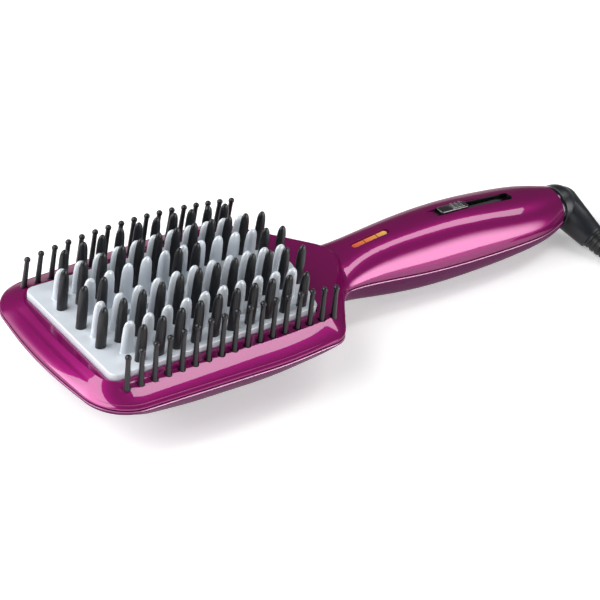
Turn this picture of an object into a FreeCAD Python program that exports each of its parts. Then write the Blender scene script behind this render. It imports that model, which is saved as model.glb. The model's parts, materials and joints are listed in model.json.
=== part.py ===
import FreeCAD, Part
import math
import os
import Sketcher
from FreeCAD import Placement, Rotation, Vector

# Heated straightening brush: a paddle head with a finned heating plate, a two-part moulded
# shell, a slide switch on the handle and a mains cord on a swivel elbow.
# Millimetres. +X runs from the head to the cord, +Y to the far side, +Z up out of the bristles.
# The origin is the centre of the flat on the head's back, on which the brush lies.

doc = FreeCAD.newDocument("StraighteningBrush")
sheet = doc.addObject("Spreadsheet::Sheet", "Sizes")

driving = {
    # Shells
    "wall": 2.2,
    "seam_gap": 0.3,
    "overrun": 5.0,
    "land_height": 29.5,
    "seam_height": 23.7,
    "head_half_width": 46.9,
    "head_free_reach": 65.0,
    "head_neck_reach": 80.5,
    "head_depth": 24.7,
    "back_flat_cut": 1.0,
    "land_roll": 9.4,
    "land_free_reach": 56.0,
    "land_neck_reach": 79.7,
    "handle_end": 204.5,
    "handle_axis_height": 15.6,
    "handle_half_width": 18.1,
    "handle_rise": 16.5,
    "handle_drop": 15.2,
    "handle_end_wall": 4.5,
    "boss_radius": 3.2,
    # Heating plate and its fins
    "plate_free_reach": 51.2,
    "plate_neck_reach": 53.6,
    "plate_land": 6.8,
    "plate_stand": 2.3,
    "plate_gap": 0.4,
    "plate_flange": 1.5,
    "plate_flange_thickness": 1.6,
    "fin_length": 5.6,
    "fin_thickness": 3.2,
    "fin_height": 18.2,
    "fin_height_drop_side": 2.2,
    "fin_height_drop_end": 3.6,
    "row_inset": 4.1,
    "peg_pitch": 8.36,
    "ion_slot_length": 15.0,
    "ion_slot_width": 3.0,
    # Bristles
    "peg_length": 4.4,
    "peg_width": 3.4,
    "peg_height": 23.0,
    "peg_height_drop_side": 4.3,
    "peg_height_drop_end": 4.4,
    "peg_shift": 0.8,
    "fin_shift": 0.5,
    "peg_head_margin": 0.6,
    "peg_head_thickness": 1.4,
    "pin_pitch": 6.0,
    "pin_inset": 2.0,
    "pin_radius": 0.95,
    "pin_ball_radius": 1.3,
    "pin_seat_depth": 1.1,
    "pin_collar_radius": 1.6,
    "pin_collar_height": 2.2,
    "pin_height": 17.9,
    "pin_height_drop_end": 4.4,
    "pin_lean": 1.2,
    # Parts under the plate
    "carrier_thickness": 2.0,
    "ear_radius": 3.4,
    "heater_length": 74.0,
    "heater_shift": 1.0,
    "heater_side_gap": 0.75,
    "sheet_thickness": 0.4,
    "sheet_margin": 2.0,
    "sheet_corner": 3.0,
    "clamp_thickness": 1.0,
    "clamp_length": 66.0,
    "clamp_inset": 5.7,
    "sensor_radius": 1.5,
    "sensor_length": 9.0,
    "fuse_radius": 2.0,
    "fuse_length": 12.0,
    "ion_module_length": 20.0,
    "ion_module_width": 13.0,
    "ion_module_height": 8.0,
    "emitter_radius": 0.6,
    "emitter_reach": 20.9,
    "emitter_sink": 1.8,
    "wire_radius": 0.9,
    "wire_overlap": 3.0,
    "mains_wire_row": 1.3,
    "wire_passage_start": 60.0,
    "wire_passage_half": 8.0,
    "wire_passage_depth": 6.0,
    # Screws
    "screw_radius": 1.3,
    "screw_head_radius": 2.4,
    "screw_head_height": 1.6,
    "plate_screw_reach": 29.0,
    "plate_screw_cover": 2.3,
    "carrier_screw_reach": 38.0,
    "carrier_screw_inset": 1.0,
    "carrier_boss_radius": 2.8,
    "boss_cover": 0.4,
    "shell_screw_free": 57.5,
    "shell_screw_row": 22.0,
    "shell_screw_neck": 76.0,
    "shell_screw_floor": 1.9,
    "shell_screw_grip": 3.0,
    # Circuit board, switch and light bar
    "board_start": 84.0,
    "board_end_margin": 6.0,
    "board_width": 19.0,
    "board_thickness": 1.6,
    "board_corner": 2.0,
    "post_start": 90.0,
    "post_end_inset": 7.0,
    "post_row": 7.0,
    "post_radius": 2.2,
    "board_height": 13.0,
    "switch_end_wall": 6.7,
    "switch_width": 9.0,
    "switch_height": 7.4,
    "slot_start": 132.6,
    "slot_end": 177.0,
    "slot_width": 5.8,
    "scoop_start": 126.0,
    "scoop_depth": 1.0,
    "track_top_start": 30.4,
    "track_slope": 0.0627,
    "track_rise": 1.6,
    "track_flange": 1.4,
    "track_flange_width": 10.0,
    "seat_margin": 1.0,
    "button_start": 134.0,
    "button_length": 16.0,
    "button_thickness": 2.9,
    "button_rib_height": 0.7,
    "button_rib_width": 1.0,
    "button_rib_pitch": 2.4,
    "button_rib_shift": 1.6,
    "button_edge": 0.8,
    "button_travel": 24.0,
    "stem_width": 2.2,
    "stem_length": 7.0,
    "stem_rise": 4.8,
    "stem_side_gap": 0.4,
    "slit_margin": 0.8,
    "lens_start": 86.5,
    "lens_end": 105.9,
    "lens_width": 3.8,
    "lens_flange": 1.2,
    "lens_sink": 0.4,
    "lens_seat_drop": 3.2,
    "lens_flange_side": 1.6,
    "led_size": 2.0,
    "led_height": 1.2,
    # Swivel and cord
    "swivel_height": 13.7,
    "spigot_radius": 9.0,
    "ring_radius": 10.4,
    "ring_length": 2.4,
    "bush_radius": 7.6,
    "bush_length": 8.5,
    "stub_radius": 5.5,
    "stub_bore": 3.2,
    "stub_nose": 1.0,
    "clip_radius": 7.0,
    "clip_length": 1.7,
    "clip_groove": 0.8,
    "elbow_radius": 10.2,
    "elbow_dome": 12.5,
    "elbow_offset": 6.2,
    "elbow_root_radius": 8.6,
    "elbow_tip_radius": 6.0,
    "elbow_turn": 80.4,
    "elbow_dip": 20.0,
    "relief_length": 16.0,
    "relief_root_radius": 5.0,
    "relief_tip_wall": 0.9,
    "cord_diameter": 6.0,
    "coil_radius": 36.0,
    "coil_step": 6.7,
    "coil_clear": 1.0,
    "lead_last_run": 10.0,
    "tail_run": 14.0,
    "tail_side": 5.0,
    "tie_thickness": 0.6,
    "tie_width": 7.0,
    "tie_corner": 2.6,
    "plug_length": 34.0,
    "plug_width": 35.0,
    "plug_height": 13.6,
    "plug_corner": 2.5,
    "pin_spacing_plug": 18.6,
    "plug_pin_radius": 2.0,
    "plug_pin_length": 19.0,
    # Clearances
    "fit_clearance": 0.1,
    "running_clearance": 0.05,
    "moving_clearance": 0.3,
}

for row, (alias, value) in enumerate(driving.items(), start=1):
    sheet.set("A%d" % row, alias)
    sheet.set("B%d" % row, str(value))
    sheet.setAlias("B%d" % row, alias)
doc.recompute()


def size(alias):
    return float(sheet.get(alias))


wall = size("wall")
overrun = size("overrun")
land_height = size("land_height")
seam_height = size("seam_height")
fit = size("fit_clearance")
running = size("running_clearance")
moving = size("moving_clearance")
# Across the head, each piece keeps its distance from the one outside it
land_half_width = size("head_half_width") - size("land_roll")
plate_half_width = land_half_width - size("plate_land")
row_spacing = (plate_half_width - size("row_inset")) / 2
pin_row = land_half_width - size("pin_inset")
carrier_screw_row = land_half_width - size("carrier_screw_inset")
peg_head_width = size("peg_width") + 2 * size("peg_head_margin")
heater_width = row_spacing - peg_head_width - 2 * size("heater_side_gap")
clamp_half_width = plate_half_width - size("clamp_inset")
parts = {}


# Outlines in plan

# Each row: share of the free or neck reach, share of the half width, share of the half width
# for the corner's radius. No radius means one as large as the sides beside it allow.
seam_outline_shares = [
    (-1.0, 0.0, None),
    (-0.957, 0.921, 0.36),
    (0.273, 1.0, None),
    (0.604, 0.951, 0.277),
    (1.0, 0.0, 0.26),
]
land_outline_shares = [
    (-1.0, 0.0, None),
    (-0.975, 0.88, 0.32),
    (0.251, 1.0, None),
    (0.583, 0.976, 0.24),
    (1.0, 0.0, 0.33),
]
plate_outline_shares = [
    (-1.0, 1.0, 0.114),
    (0.8265, 0.99, 0.114),
    (1.0, 0.0, 0.39),
]
largest_arc_share = 0.45
slot_end_share = 0.45
plug_back_share = 0.4
plug_flare_share = 0.4


def turn_at(before, here, after):
    first = here - before
    second = after - here
    return math.atan2(first.cross(second).z, first.dot(second))


def outline(shares, free_reach, neck_reach, half_width):
    half = []
    for x_share, y_share, radius_share in shares:
        x = x_share * (free_reach if x_share < 0 else neck_reach)
        radius = None if radius_share is None else radius_share * half_width
        half.append((Vector(x, -y_share * half_width, 0), radius))
    loop = list(half)
    for point, radius in reversed(half):
        if point.y < 0:
            loop.append((Vector(point.x, -point.y, 0), radius))
    corners = []
    for i, (point, radius) in enumerate(loop):
        before = loop[i - 1][0]
        after = loop[(i + 1) % len(loop)][0]
        if radius is None:
            shorter = min((point - before).Length, (after - point).Length)
            half_turn = abs(turn_at(before, point, after)) / 2
            radius = largest_arc_share * shorter / math.tan(half_turn)
        corners.append((point, radius))
    return corners


def inset(corners, distance):
    moved = []
    for i, (point, radius) in enumerate(corners):
        before = corners[i - 1][0]
        after = corners[(i + 1) % len(corners)][0]
        first = (point - before).normalize()
        second = (after - point).normalize()
        turn = turn_at(before, point, after)
        inward = Vector(-first.y - second.y, first.x + second.x, 0).normalize()
        moved.append((point + inward * (distance / math.cos(turn / 2)),
                      radius - math.copysign(distance, turn)))
    return moved


def blend(first, second, share):
    mixed = []
    for (p, p_radius), (q, q_radius) in zip(first, second):
        mixed.append((p + (q - p) * share, p_radius + (q_radius - p_radius) * share))
    return mixed


def scaled(corners, share):
    return [(point * share, radius * share) for point, radius in corners]


def segments(corners, height=0.0):
    lift = Vector(0, 0, height)
    starts = []
    ends = []
    middles = []
    for i, (point, radius) in enumerate(corners):
        before = corners[i - 1][0]
        after = corners[(i + 1) % len(corners)][0]
        turn = turn_at(before, point, after)
        reach = radius * math.tan(abs(turn) / 2)
        first = (before - point).normalize()
        second = (after - point).normalize()
        inward = (first + second).normalize()
        starts.append(point + first * reach + lift)
        ends.append(point + second * reach + lift)
        middles.append(point + inward * (radius / math.cos(turn / 2) - radius) + lift)
    pieces = []
    for i in range(len(corners)):
        pieces.append(Part.Arc(starts[i], middles[i], ends[i]))
        pieces.append(Part.LineSegment(ends[i], starts[(i + 1) % len(corners)]))
    return pieces


def wire(corners, height=0.0):
    return Part.Wire([piece.toShape() for piece in segments(corners, height)])


def prism(corners, low, high):
    return Part.Face(wire(corners, low)).extrude(Vector(0, 0, high - low))


seam_outline = outline(seam_outline_shares, size("head_free_reach"), size("head_neck_reach"),
                       size("head_half_width"))
land_outline = outline(land_outline_shares, size("land_free_reach"), size("land_neck_reach"),
                       land_half_width)
plate_outline = outline(plate_outline_shares, size("plate_free_reach"),
                        size("plate_neck_reach"), plate_half_width)


# Outer and inner forms of the shells

roll_down_share = 0.36
roll_out_share = 0.70
dome_shares = (1.0, 0.87, 0.70, 0.48, 0.20)


def head_form(thickness, depth):
    top = land_height - thickness
    roll = blend(land_outline, seam_outline, roll_out_share)
    upper = Part.makeLoft([
        wire(inset(land_outline, thickness), top),
        wire(inset(roll, thickness), top + (seam_height - top) * roll_down_share),
        wire(inset(seam_outline, thickness), seam_height),
    ], True)
    rim = inset(seam_outline, thickness)
    lower = Part.makeLoft([
        wire(scaled(rim, share), seam_height - depth * (1 - share ** 2))
        for share in dome_shares
    ], True)
    return upper.fuse(lower)


# Each row: shares of the handle's end, its half width, its rise above the axis (top, then
# parting line) and its drop below the axis.
handle_station_shares = [
    (0.244, 1.823, 0.727, 0.424, 0.401),
    (0.284, 1.464, 0.691, 0.364, 0.382),
    (0.313, 1.177, 0.667, 0.315, 0.408),
    (0.342, 0.950, 0.655, 0.267, 0.467),
    (0.386, 0.818, 0.709, 0.212, 0.592),
    (0.445, 0.807, 0.836, 0.145, 0.757),
    (0.562, 0.923, 0.982, 0.055, 0.967),
    (0.704, 1.000, 1.000, 0.000, 1.000),
    (0.844, 0.983, 0.830, -0.042, 0.905),
    (0.954, 0.807, 0.642, -0.091, 0.790),
    (1.000, 0.608, 0.533, -0.115, 0.770),
]
section_points = 9
space_first_station = 3
parting_flat_share = 0.7


def station(x):
    reach = size("handle_end")
    rows = handle_station_shares
    last = next(i for i in range(1, len(rows)) if rows[i][0] * reach >= x or i == len(rows) - 1)
    low, high = rows[last - 1], rows[last]
    share = (x / reach - low[0]) / (high[0] - low[0])
    return tuple(a + (b - a) * share for a, b in zip(low, high))


def handle_section(shares, x, thickness):
    axis = size("handle_axis_height")
    half_width = shares[1] * size("handle_half_width") - thickness
    top = axis + shares[2] * size("handle_rise") - thickness
    parting = axis + shares[3] * size("handle_rise")
    bottom = axis - shares[4] * size("handle_drop") + thickness
    edges = []
    for sign, reach in ((1, top - parting), (-1, bottom - parting)):
        points = []
        for i in range(section_points):
            angle = math.pi * i / (section_points - 1)
            points.append(Vector(x, sign * half_width * math.cos(angle),
                                 parting + reach * math.sin(angle)))
        curve = Part.BSplineCurve()
        curve.interpolate(points, InitialTangent=Vector(0, 0, sign),
                          FinalTangent=Vector(0, 0, -sign))
        edges.append(curve.toShape())
    return Part.Wire(edges)


def handle_form(thickness, end, first):
    sections = []
    for shares in handle_station_shares[first:]:
        x = shares[0] * size("handle_end")
        if x < end:
            sections.append(handle_section(shares, x, thickness))
    sections.append(handle_section(station(end), end, thickness))
    return Part.makeLoft(sections, True)


def handle_top(x):
    return size("handle_axis_height") + station(x)[2] * size("handle_rise")


far_out = 4 * size("handle_end")


def parting_tool(shift, sign):
    reach = size("handle_end")
    flat_end = Vector(parting_flat_share * handle_station_shares[0][0] * reach, 0, seam_height + shift)
    points = [flat_end]
    for shares in handle_station_shares[1::2]:
        height = size("handle_axis_height") + shares[3] * size("handle_rise")
        points.append(Vector(shares[0] * reach, 0, height + shift))
    curve = Part.BSplineCurve()
    curve.interpolate(points, InitialTangent=Vector(1, 0, 0), FinalTangent=Vector(1, 0, 0))
    start = Vector(-far_out, 0, flat_end.z)
    finish = Vector(far_out, 0, points[-1].z)
    corner = Vector(far_out, 0, sign * far_out)
    other = Vector(-far_out, 0, sign * far_out)
    edges = [
        Part.LineSegment(start, flat_end).toShape(),
        curve.toShape(),
        Part.LineSegment(points[-1], finish).toShape(),
        Part.LineSegment(finish, corner).toShape(),
        Part.LineSegment(corner, other).toShape(),
        Part.LineSegment(other, start).toShape(),
    ]
    face = Part.Face(Part.Wire(edges))
    face.translate(Vector(0, -far_out, 0))
    return face.extrude(Vector(0, 2 * far_out, 0))


def cylinder(radius, start, end):
    return Part.makeCylinder(radius, (end - start).Length, start, end - start)


def box(low, high):
    return Part.makeBox(high.x - low.x, high.y - low.y, high.z - low.z, low)


swivel_height = size("swivel_height")
handle_end = size("handle_end")
ring_end = handle_end + size("ring_length")
inner_end = handle_end - size("handle_end_wall")
inner_depth = size("head_depth") - size("back_flat_cut") - wall
half_gap = size("seam_gap") / 2
above = parting_tool(half_gap, 1)
below = parting_tool(-half_gap, -1)
below_floor = box(Vector(-far_out, -far_out, -far_out), Vector(far_out, far_out, 0))
outer = head_form(0.0, size("head_depth")).fuse(handle_form(0.0, handle_end, 0))
outer_front = outer.common(above)
outer_rear = outer.common(below).cut(below_floor)
head_space = head_form(wall, inner_depth)
handle_space = handle_form(wall, inner_end, space_first_station)


# Levels of the stack under the plate, from the land downwards

ceiling = land_height - wall
plate_top = land_height + size("plate_stand")
flange_top = ceiling - fit
flange_bottom = flange_top - size("plate_flange_thickness")
carrier_top = flange_bottom - size("peg_head_thickness")
carrier_bottom = carrier_top - size("carrier_thickness")
sheet_bottom = carrier_bottom - size("sheet_thickness")
clamp_bottom = sheet_bottom - size("clamp_thickness")
board_bottom = size("board_height")
board_top = board_bottom + size("board_thickness")
heater_row = 1.5 * row_spacing


# Drawing helpers

def origin_plane(body, role):
    return next(item for item in body.Origin.OriginFeatures if item.Role == role)


def sketch_on(body, name, role, pieces, offset):
    sketch = body.newObject("Sketcher::SketchObject", name)
    sketch.AttachmentSupport = [(origin_plane(body, role), "")]
    sketch.MapMode = "FlatFace"
    sketch.AttachmentOffset = Placement(offset, Rotation())
    for piece in pieces:
        sketch.addGeometry(piece, False)
    return sketch


def circle(x, y, radius):
    return Part.Circle(Vector(x, y, 0), Vector(0, 0, 1), radius)


def padded(label, layers):
    body = doc.addObject("PartDesign::Body", label)
    for i, (pieces, base, alias) in enumerate(layers):
        sketch = sketch_on(body, "%s_sketch_%d" % (label, i), "XY_Plane", pieces, Vector(0, 0, base))
        pad = body.newObject("PartDesign::Pad", "%s_pad_%d" % (label, i))
        pad.Profile = sketch
        pad.setExpression("Length", "Sizes.%s" % alias)
        sketch.Visibility = False
    doc.recompute()
    return body


def polygon_lines(points):
    lines = []
    for i, point in enumerate(points):
        lines.append(Part.LineSegment(point, points[(i + 1) % len(points)]))
    return lines


def side_padded(label, points, alias):
    body = doc.addObject("PartDesign::Body", label)
    flat = [Vector(x, z, 0) for x, z in points]
    sketch = sketch_on(body, label + "_sketch", "XZ_Plane", polygon_lines(flat), Vector(0, 0, 0))
    pad = body.newObject("PartDesign::Pad", label + "_pad")
    pad.Profile = sketch
    pad.setExpression("Length", "Sizes.%s" % alias)
    pad.Midplane = True
    doc.recompute()
    return body


def side_block(points, half_width):
    corners = [Vector(x, -half_width, z) for x, z in points]
    face = Part.Face(Part.makePolygon(corners + corners[:1]))
    return face.extrude(Vector(0, 2 * half_width, 0))


def turned(label, profile, axis, height):
    body = doc.addObject("PartDesign::Body", label)
    flat = [Vector(u, v, 0) for u, v in profile]
    sketch = sketch_on(body, label + "_sketch", "XZ_Plane", polygon_lines(flat),
                       Vector(0, height, 0))
    revolution = body.newObject("PartDesign::Revolution", label + "_revolution")
    revolution.Profile = sketch
    revolution.ReferenceAxis = (sketch, [axis])
    revolution.Angle = 360
    doc.recompute()
    return body


def feature(label, shape):
    item = doc.addObject("Part::Feature", label)
    item.Shape = shape
    return item


def moved(shape, x, y, z):
    copy = shape.copy()
    copy.translate(Vector(x, y, z))
    return copy


def route_tube(points, radius):
    edges = []
    start = points[0]
    for i in range(1, len(points) - 1):
        before = points[i] - points[i - 1]
        after = points[i + 1] - points[i]
        half_turn = before.getAngle(after) / 2
        shorter = min(before.Length, after.Length)
        reach = largest_arc_share * shorter
        arc_radius = reach / math.tan(half_turn)
        back = before.normalize() * -1
        onward = after.normalize()
        middle = (back + onward).normalize() * (arc_radius / math.cos(half_turn) - arc_radius)
        arc_start = points[i] + back * reach
        arc_end = points[i] + onward * reach
        edges.append(Part.LineSegment(start, arc_start).toShape())
        edges.append(Part.Arc(arc_start, points[i] + middle, arc_end).toShape())
        start = arc_end
        bend_radii.append(arc_radius)
    edges.append(Part.LineSegment(start, points[-1]).toShape())
    return swept(edges, points[0], points[1] - points[0], radius)


def swept(edges, start, heading, radius):
    profile = Part.Wire([Part.Circle(start, heading, radius).toShape()])
    return Part.Wire(edges).makePipeShell([profile], True, False)


bend_radii = []


# Bristles and fins as stacks of flat-sided rings

ring_sides = 8
pin_sides = 6
side_share = math.cos(math.pi / 8)


def stack(levels, sides):
    wires = []
    for centre, half_x, half_y in levels:
        points = []
        for i in range(sides + 1):
            angle = 2 * math.pi * (i + 0.5) / sides
            points.append(centre + Vector(half_x * math.cos(angle), half_y * math.sin(angle), 0))
        wires.append(Part.makePolygon(points))
    return Part.makeLoft(wires, True, True)


# Each row: row number from the middle, places along it.
peg_row_shares = {
    -2: range(1, 11),
    -1: range(0, 12),
    0: (0, 1, 5, 6, 10, 11),
    1: range(0, 12),
    2: range(1, 11),
}
fin_row_counts = {-1.5: 10, -0.5: 11, 0.5: 10, 1.5: 11}
peg_places = 12
pin_places = 17
peg_levels_shares = ((0.86, 0.80), (1.0, 0.30))
fin_levels_shares = ((0.80, 0.86), (1.0, 0.32))
peg_pitch = size("peg_pitch")
peg_reach = peg_pitch * (peg_places - 1) / 2


def peg_place(row, k):
    x = (k - (peg_places - 1) / 2) * peg_pitch + size("peg_shift")
    return x, row * row_spacing


def peg(row, k):
    x, y = peg_place(row, k)
    half_x = size("peg_length") / 2 / side_share
    half_y = size("peg_width") / 2 / side_share
    height = size("peg_height") - size("peg_height_drop_end") * (x / peg_reach) ** 2
    height = height - size("peg_height_drop_side") * (row / 2) ** 2
    levels = [(Vector(x, y, flange_bottom), half_x, half_y), (Vector(x, y, plate_top), half_x, half_y)]
    for up, wide in peg_levels_shares:
        levels.append((Vector(x, y, plate_top + up * height), half_x * wide, half_y * wide))
    margin = 1 + size("peg_head_margin") / half_y
    head = stack([(Vector(x, y, carrier_top), half_x * margin, half_y * margin),
                  (Vector(x, y, flange_bottom), half_x * margin, half_y * margin)], ring_sides)
    return head.fuse(stack(levels, ring_sides)).removeSplitter()


def peg_hole(row, k):
    x, y = peg_place(row, k)
    wide = 1 + 2 * fit / size("peg_width")
    half_x = size("peg_length") / 2 / side_share * wide
    half_y = size("peg_width") / 2 / side_share * wide
    return stack([(Vector(x, y, flange_bottom - overrun), half_x, half_y),
                  (Vector(x, y, plate_top + overrun), half_x, half_y)], ring_sides)


def fin(row, k):
    count = fin_row_counts[row]
    x = (k - (count - 1) / 2) * peg_pitch - size("fin_shift")
    half_x = size("fin_length") / 2 / side_share
    half_y = size("fin_thickness") / 2 / side_share
    height = size("fin_height") - size("fin_height_drop_end") * (x / peg_reach) ** 2
    if abs(row) > 1:
        height = height - size("fin_height_drop_side")
    levels = [(Vector(x, row * row_spacing, flange_top), half_x, half_y)]
    levels.append((Vector(x, row * row_spacing, plate_top), half_x, half_y))
    for up, wide in fin_levels_shares:
        top = Vector(x, row * row_spacing, plate_top + up * height)
        levels.append((top, half_x * wide, half_y * wide))
    return stack(levels, ring_sides)


pin_seat = land_height - size("pin_seat_depth")
pin_reach = size("pin_pitch") * (pin_places - 1) / 2


def pin(side, i):
    x = (i - (pin_places - 1) / 2) * size("pin_pitch")
    y = side * pin_row
    radius = size("pin_radius")
    ball = size("pin_ball_radius")
    top = land_height + size("pin_height") - size("pin_height_drop_end") * (x / pin_reach) ** 2
    collar_top = pin_seat + size("pin_collar_height")

    def centre(z):
        lean = size("pin_lean") * (z - collar_top) / (top - collar_top)
        return Vector(x, y - side * max(lean, 0), z)

    stem = stack([(centre(ceiling), radius, radius), (centre(pin_seat), radius, radius),
                  (centre(collar_top), radius, radius),
                  (centre(top - 2 * ball), radius, radius), (centre(top - ball), ball, ball),
                  (centre(top), ball / 2, ball / 2)], pin_sides)
    collar_radius = size("pin_collar_radius")
    collar = stack([(centre(pin_seat), collar_radius, collar_radius),
                    (centre(collar_top), radius, radius)], pin_sides)
    return stem.fuse(collar).removeSplitter()


def pin_socket(side, i):
    x = (i - (pin_places - 1) / 2) * size("pin_pitch")
    y = side * pin_row
    hole = cylinder(size("pin_radius") + fit, Vector(x, y, ceiling), Vector(x, y, land_height))
    counterbore = cylinder(size("pin_collar_radius") + 2 * fit, Vector(x, y, pin_seat),
                           Vector(x, y, land_height + overrun))
    return hole.fuse(counterbore)


for number, row in enumerate(sorted(peg_row_shares), start=1):
    name = "inner_bristles_%d" % number
    parts[name] = feature(name, Part.makeCompound([peg(row, k) for k in peg_row_shares[row]]))
for name, side in (("side_bristles_near", -1), ("side_bristles_far", 1)):
    parts[name] = feature(name, Part.makeCompound([pin(side, i) for i in range(pin_places)]))


# Places of the screws

plate_screws = [(x * size("plate_screw_reach"), y * row_spacing / 2)
                for x in (-1, 1) for y in (-1, 1)]
carrier_screws = [(x * size("carrier_screw_reach"), y * carrier_screw_row)
                  for x in (-1, 1) for y in (-1, 1)]
shell_screws = [(-size("shell_screw_free"), -size("shell_screw_row")),
                (-size("shell_screw_free"), size("shell_screw_row")),
                (size("shell_screw_neck"), 0)]


def parting_height(x):
    if x < parting_flat_share * handle_station_shares[0][0] * handle_end:
        return seam_height
    return size("handle_axis_height") + station(x)[3] * size("handle_rise")


screw_radius = size("screw_radius")
screw_head_radius = size("screw_head_radius")
screw_head_height = size("screw_head_height")


def screw(label, length):
    return turned(label, [(0, -screw_head_height), (screw_head_radius, -screw_head_height),
                          (screw_head_radius, 0), (screw_radius, 0), (screw_radius, length),
                          (0, length)], "V_Axis", 0)


def screw_hole(x, y, low, high):
    return cylinder(screw_radius + running, Vector(x, y, low), Vector(x, y, high))


# Heating plate: one casting with its fins

plate_blank = padded("PlateBlank", [
    (segments(inset(plate_outline, -size("plate_flange"))), flange_bottom, "plate_flange_thickness"),
    (segments(plate_outline), flange_top, "plate_stand + Sizes.wall + Sizes.fit_clearance"),
])
plate_shape = plate_blank.Shape.fuse([fin(row, k) for row, count in fin_row_counts.items()
                                      for k in range(count)])
plate_cuts = [peg_hole(row, k) for row, places in peg_row_shares.items() for k in places]
emitter_places = [(size("peg_shift") + side * size("emitter_reach"), 0) for side in (-1, 1)]
for x, y in emitter_places:
    plate_cuts.append(prism([(Vector(x + a * size("ion_slot_length") / 2,
                                     b * size("ion_slot_width") / 2, 0),
                              slot_end_share * size("ion_slot_width"))
                             for a, b in ((-1, -1), (1, -1), (1, 1), (-1, 1))],
                            flange_bottom - overrun, plate_top + overrun))
plate_screw_top = plate_top - size("plate_screw_cover")
for x, y in plate_screws:
    plate_cuts.append(screw_hole(x, y, flange_bottom - overrun, plate_screw_top))
plate_shape = plate_shape.cut(plate_cuts).removeSplitter()
parts["heating_plate"] = feature("heating_plate", plate_shape)
print("plate", len(plate_shape.Solids), round(plate_shape.Volume))


# Bristle carrier, heaters, sheet and clamp under the plate

heater_start = size("heater_shift") - size("heater_length") / 2
carrier_blank = padded("CarrierBlank", [
    (segments(inset(plate_outline, -size("plate_flange"))), carrier_bottom, "carrier_thickness"),
])
ears = []
for x, y in carrier_screws:
    ears.append(cylinder(size("ear_radius"), Vector(x, y, carrier_bottom), Vector(x, y, carrier_top)))
    inner_y = math.copysign(plate_half_width, y)
    ears.append(box(Vector(x - size("ear_radius"), min(y, inner_y), carrier_bottom),
                    Vector(x + size("ear_radius"), max(y, inner_y), carrier_top)))
carrier_cuts = []
for side in (-1, 1):
    centre_y = side * heater_row
    half = heater_width / 2 + fit
    carrier_cuts.append(box(Vector(heater_start - fit, centre_y - half, carrier_bottom - overrun),
                            Vector(heater_start + size("heater_length") + fit, centre_y + half,
                                   carrier_top + overrun)))
for x, y in plate_screws + carrier_screws:
    carrier_cuts.append(screw_hole(x, y, carrier_bottom - overrun, carrier_top + overrun))
for x, y in emitter_places:
    carrier_cuts.append(cylinder(size("emitter_radius") + running,
                                 Vector(x, y, carrier_bottom - overrun),
                                 Vector(x, y, carrier_top + overrun)))
carrier_shape = carrier_blank.Shape.fuse(ears).cut(carrier_cuts).removeSplitter()
parts["bristle_carrier"] = feature("bristle_carrier", carrier_shape)

for name, side in (("ptc_heater_near", -1), ("ptc_heater_far", 1)):
    heater = doc.addObject("Part::Box", name)
    heater.setExpression("Length", "Sizes.heater_length")
    heater.Width = heater_width
    heater.Height = flange_bottom - carrier_bottom
    heater.Placement.Base = Vector(heater_start, side * heater_row - heater_width / 2,
                                   carrier_bottom)
    parts[name] = heater

clamp_middle = heater_start + size("clamp_length") / 2 + size("sheet_margin")


def sheet_outline(margin):
    half_x = size("clamp_length") / 2 + margin
    half_y = clamp_half_width + margin
    return [(Vector(clamp_middle + a * half_x, b * half_y, 0), size("sheet_corner"))
            for a, b in ((-1, -1), (1, -1), (1, 1), (-1, 1))]


holes = [circle(x, y, screw_radius + running) for x, y in plate_screws]
parts["insulation_sheet"] = padded("insulation_sheet", [
    (segments(sheet_outline(size("sheet_margin"))) + holes, sheet_bottom, "sheet_thickness")])
holes = [circle(x, y, screw_radius + running) for x, y in plate_screws]
parts["heater_clamp"] = padded("heater_clamp", [
    (segments(sheet_outline(0.0)) + holes, clamp_bottom, "clamp_thickness")])

plate_screw = screw("PlateScrew", plate_screw_top - fit - clamp_bottom)
parts["plate_screws"] = feature("plate_screws", Part.makeCompound(
    [moved(plate_screw.Shape, x, y, clamp_bottom) for x, y in plate_screws]))
carrier_screw_top = ceiling - size("boss_cover")
carrier_screw = screw("CarrierScrew", carrier_screw_top - fit - carrier_bottom)
parts["carrier_screws"] = feature("carrier_screws", Part.makeCompound(
    [moved(carrier_screw.Shape, x, y, carrier_bottom) for x, y in carrier_screws]))

emitters = [cylinder(size("emitter_radius"), Vector(x, y, carrier_bottom),
                     Vector(x, y, plate_top - size("emitter_sink"))) for x, y in emitter_places]
parts["emitter_pins"] = feature("emitter_pins", Part.makeCompound(emitters))

module = doc.addObject("Part::Box", "ion_generator")
module.setExpression("Length", "Sizes.ion_module_length")
module.setExpression("Width", "Sizes.ion_module_width")
module.setExpression("Height", "Sizes.ion_module_height")
module.Placement.Base = Vector(-size("ion_module_length") / 2, -size("ion_module_width") / 2,
                               seam_height - inner_depth * (1 - dome_shares[-1] ** 2))
parts["ion_generator"] = module

for name, kind, side in (("thermistor", "sensor", -1), ("thermal_fuse", "fuse", 1)):
    rod = doc.addObject("Part::Cylinder", name)
    rod.setExpression("Radius", "Sizes.%s_radius" % kind)
    rod.setExpression("Height", "Sizes.%s_length" % kind)
    rod.Placement = Placement(Vector(-size(kind + "_length") / 2, side * heater_row,
                                     clamp_bottom - size(kind + "_radius")),
                              Rotation(Vector(0, 1, 0), 90))
    parts[name] = rod


# Handle: light bar, switch track and their seats in the shell

handle_middle_slope = -size("track_slope")


def track_top(x):
    return size("track_top_start") + handle_middle_slope * (x - size("scoop_start"))


def track_seat(x):
    return track_top(x) - size("track_rise")


lens_start = size("lens_start")
lens_end = size("lens_end")
lens_slope = (handle_top(lens_end) - handle_top(lens_start)) / (lens_end - lens_start)


def lens_line(x, drop):
    return handle_top(lens_start) + lens_slope * (x - lens_start) - drop


def band(line, start, end, thickness):
    return [(start, line(start) - thickness), (end, line(end) - thickness), (end, line(end)),
            (start, line(start))]


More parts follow.
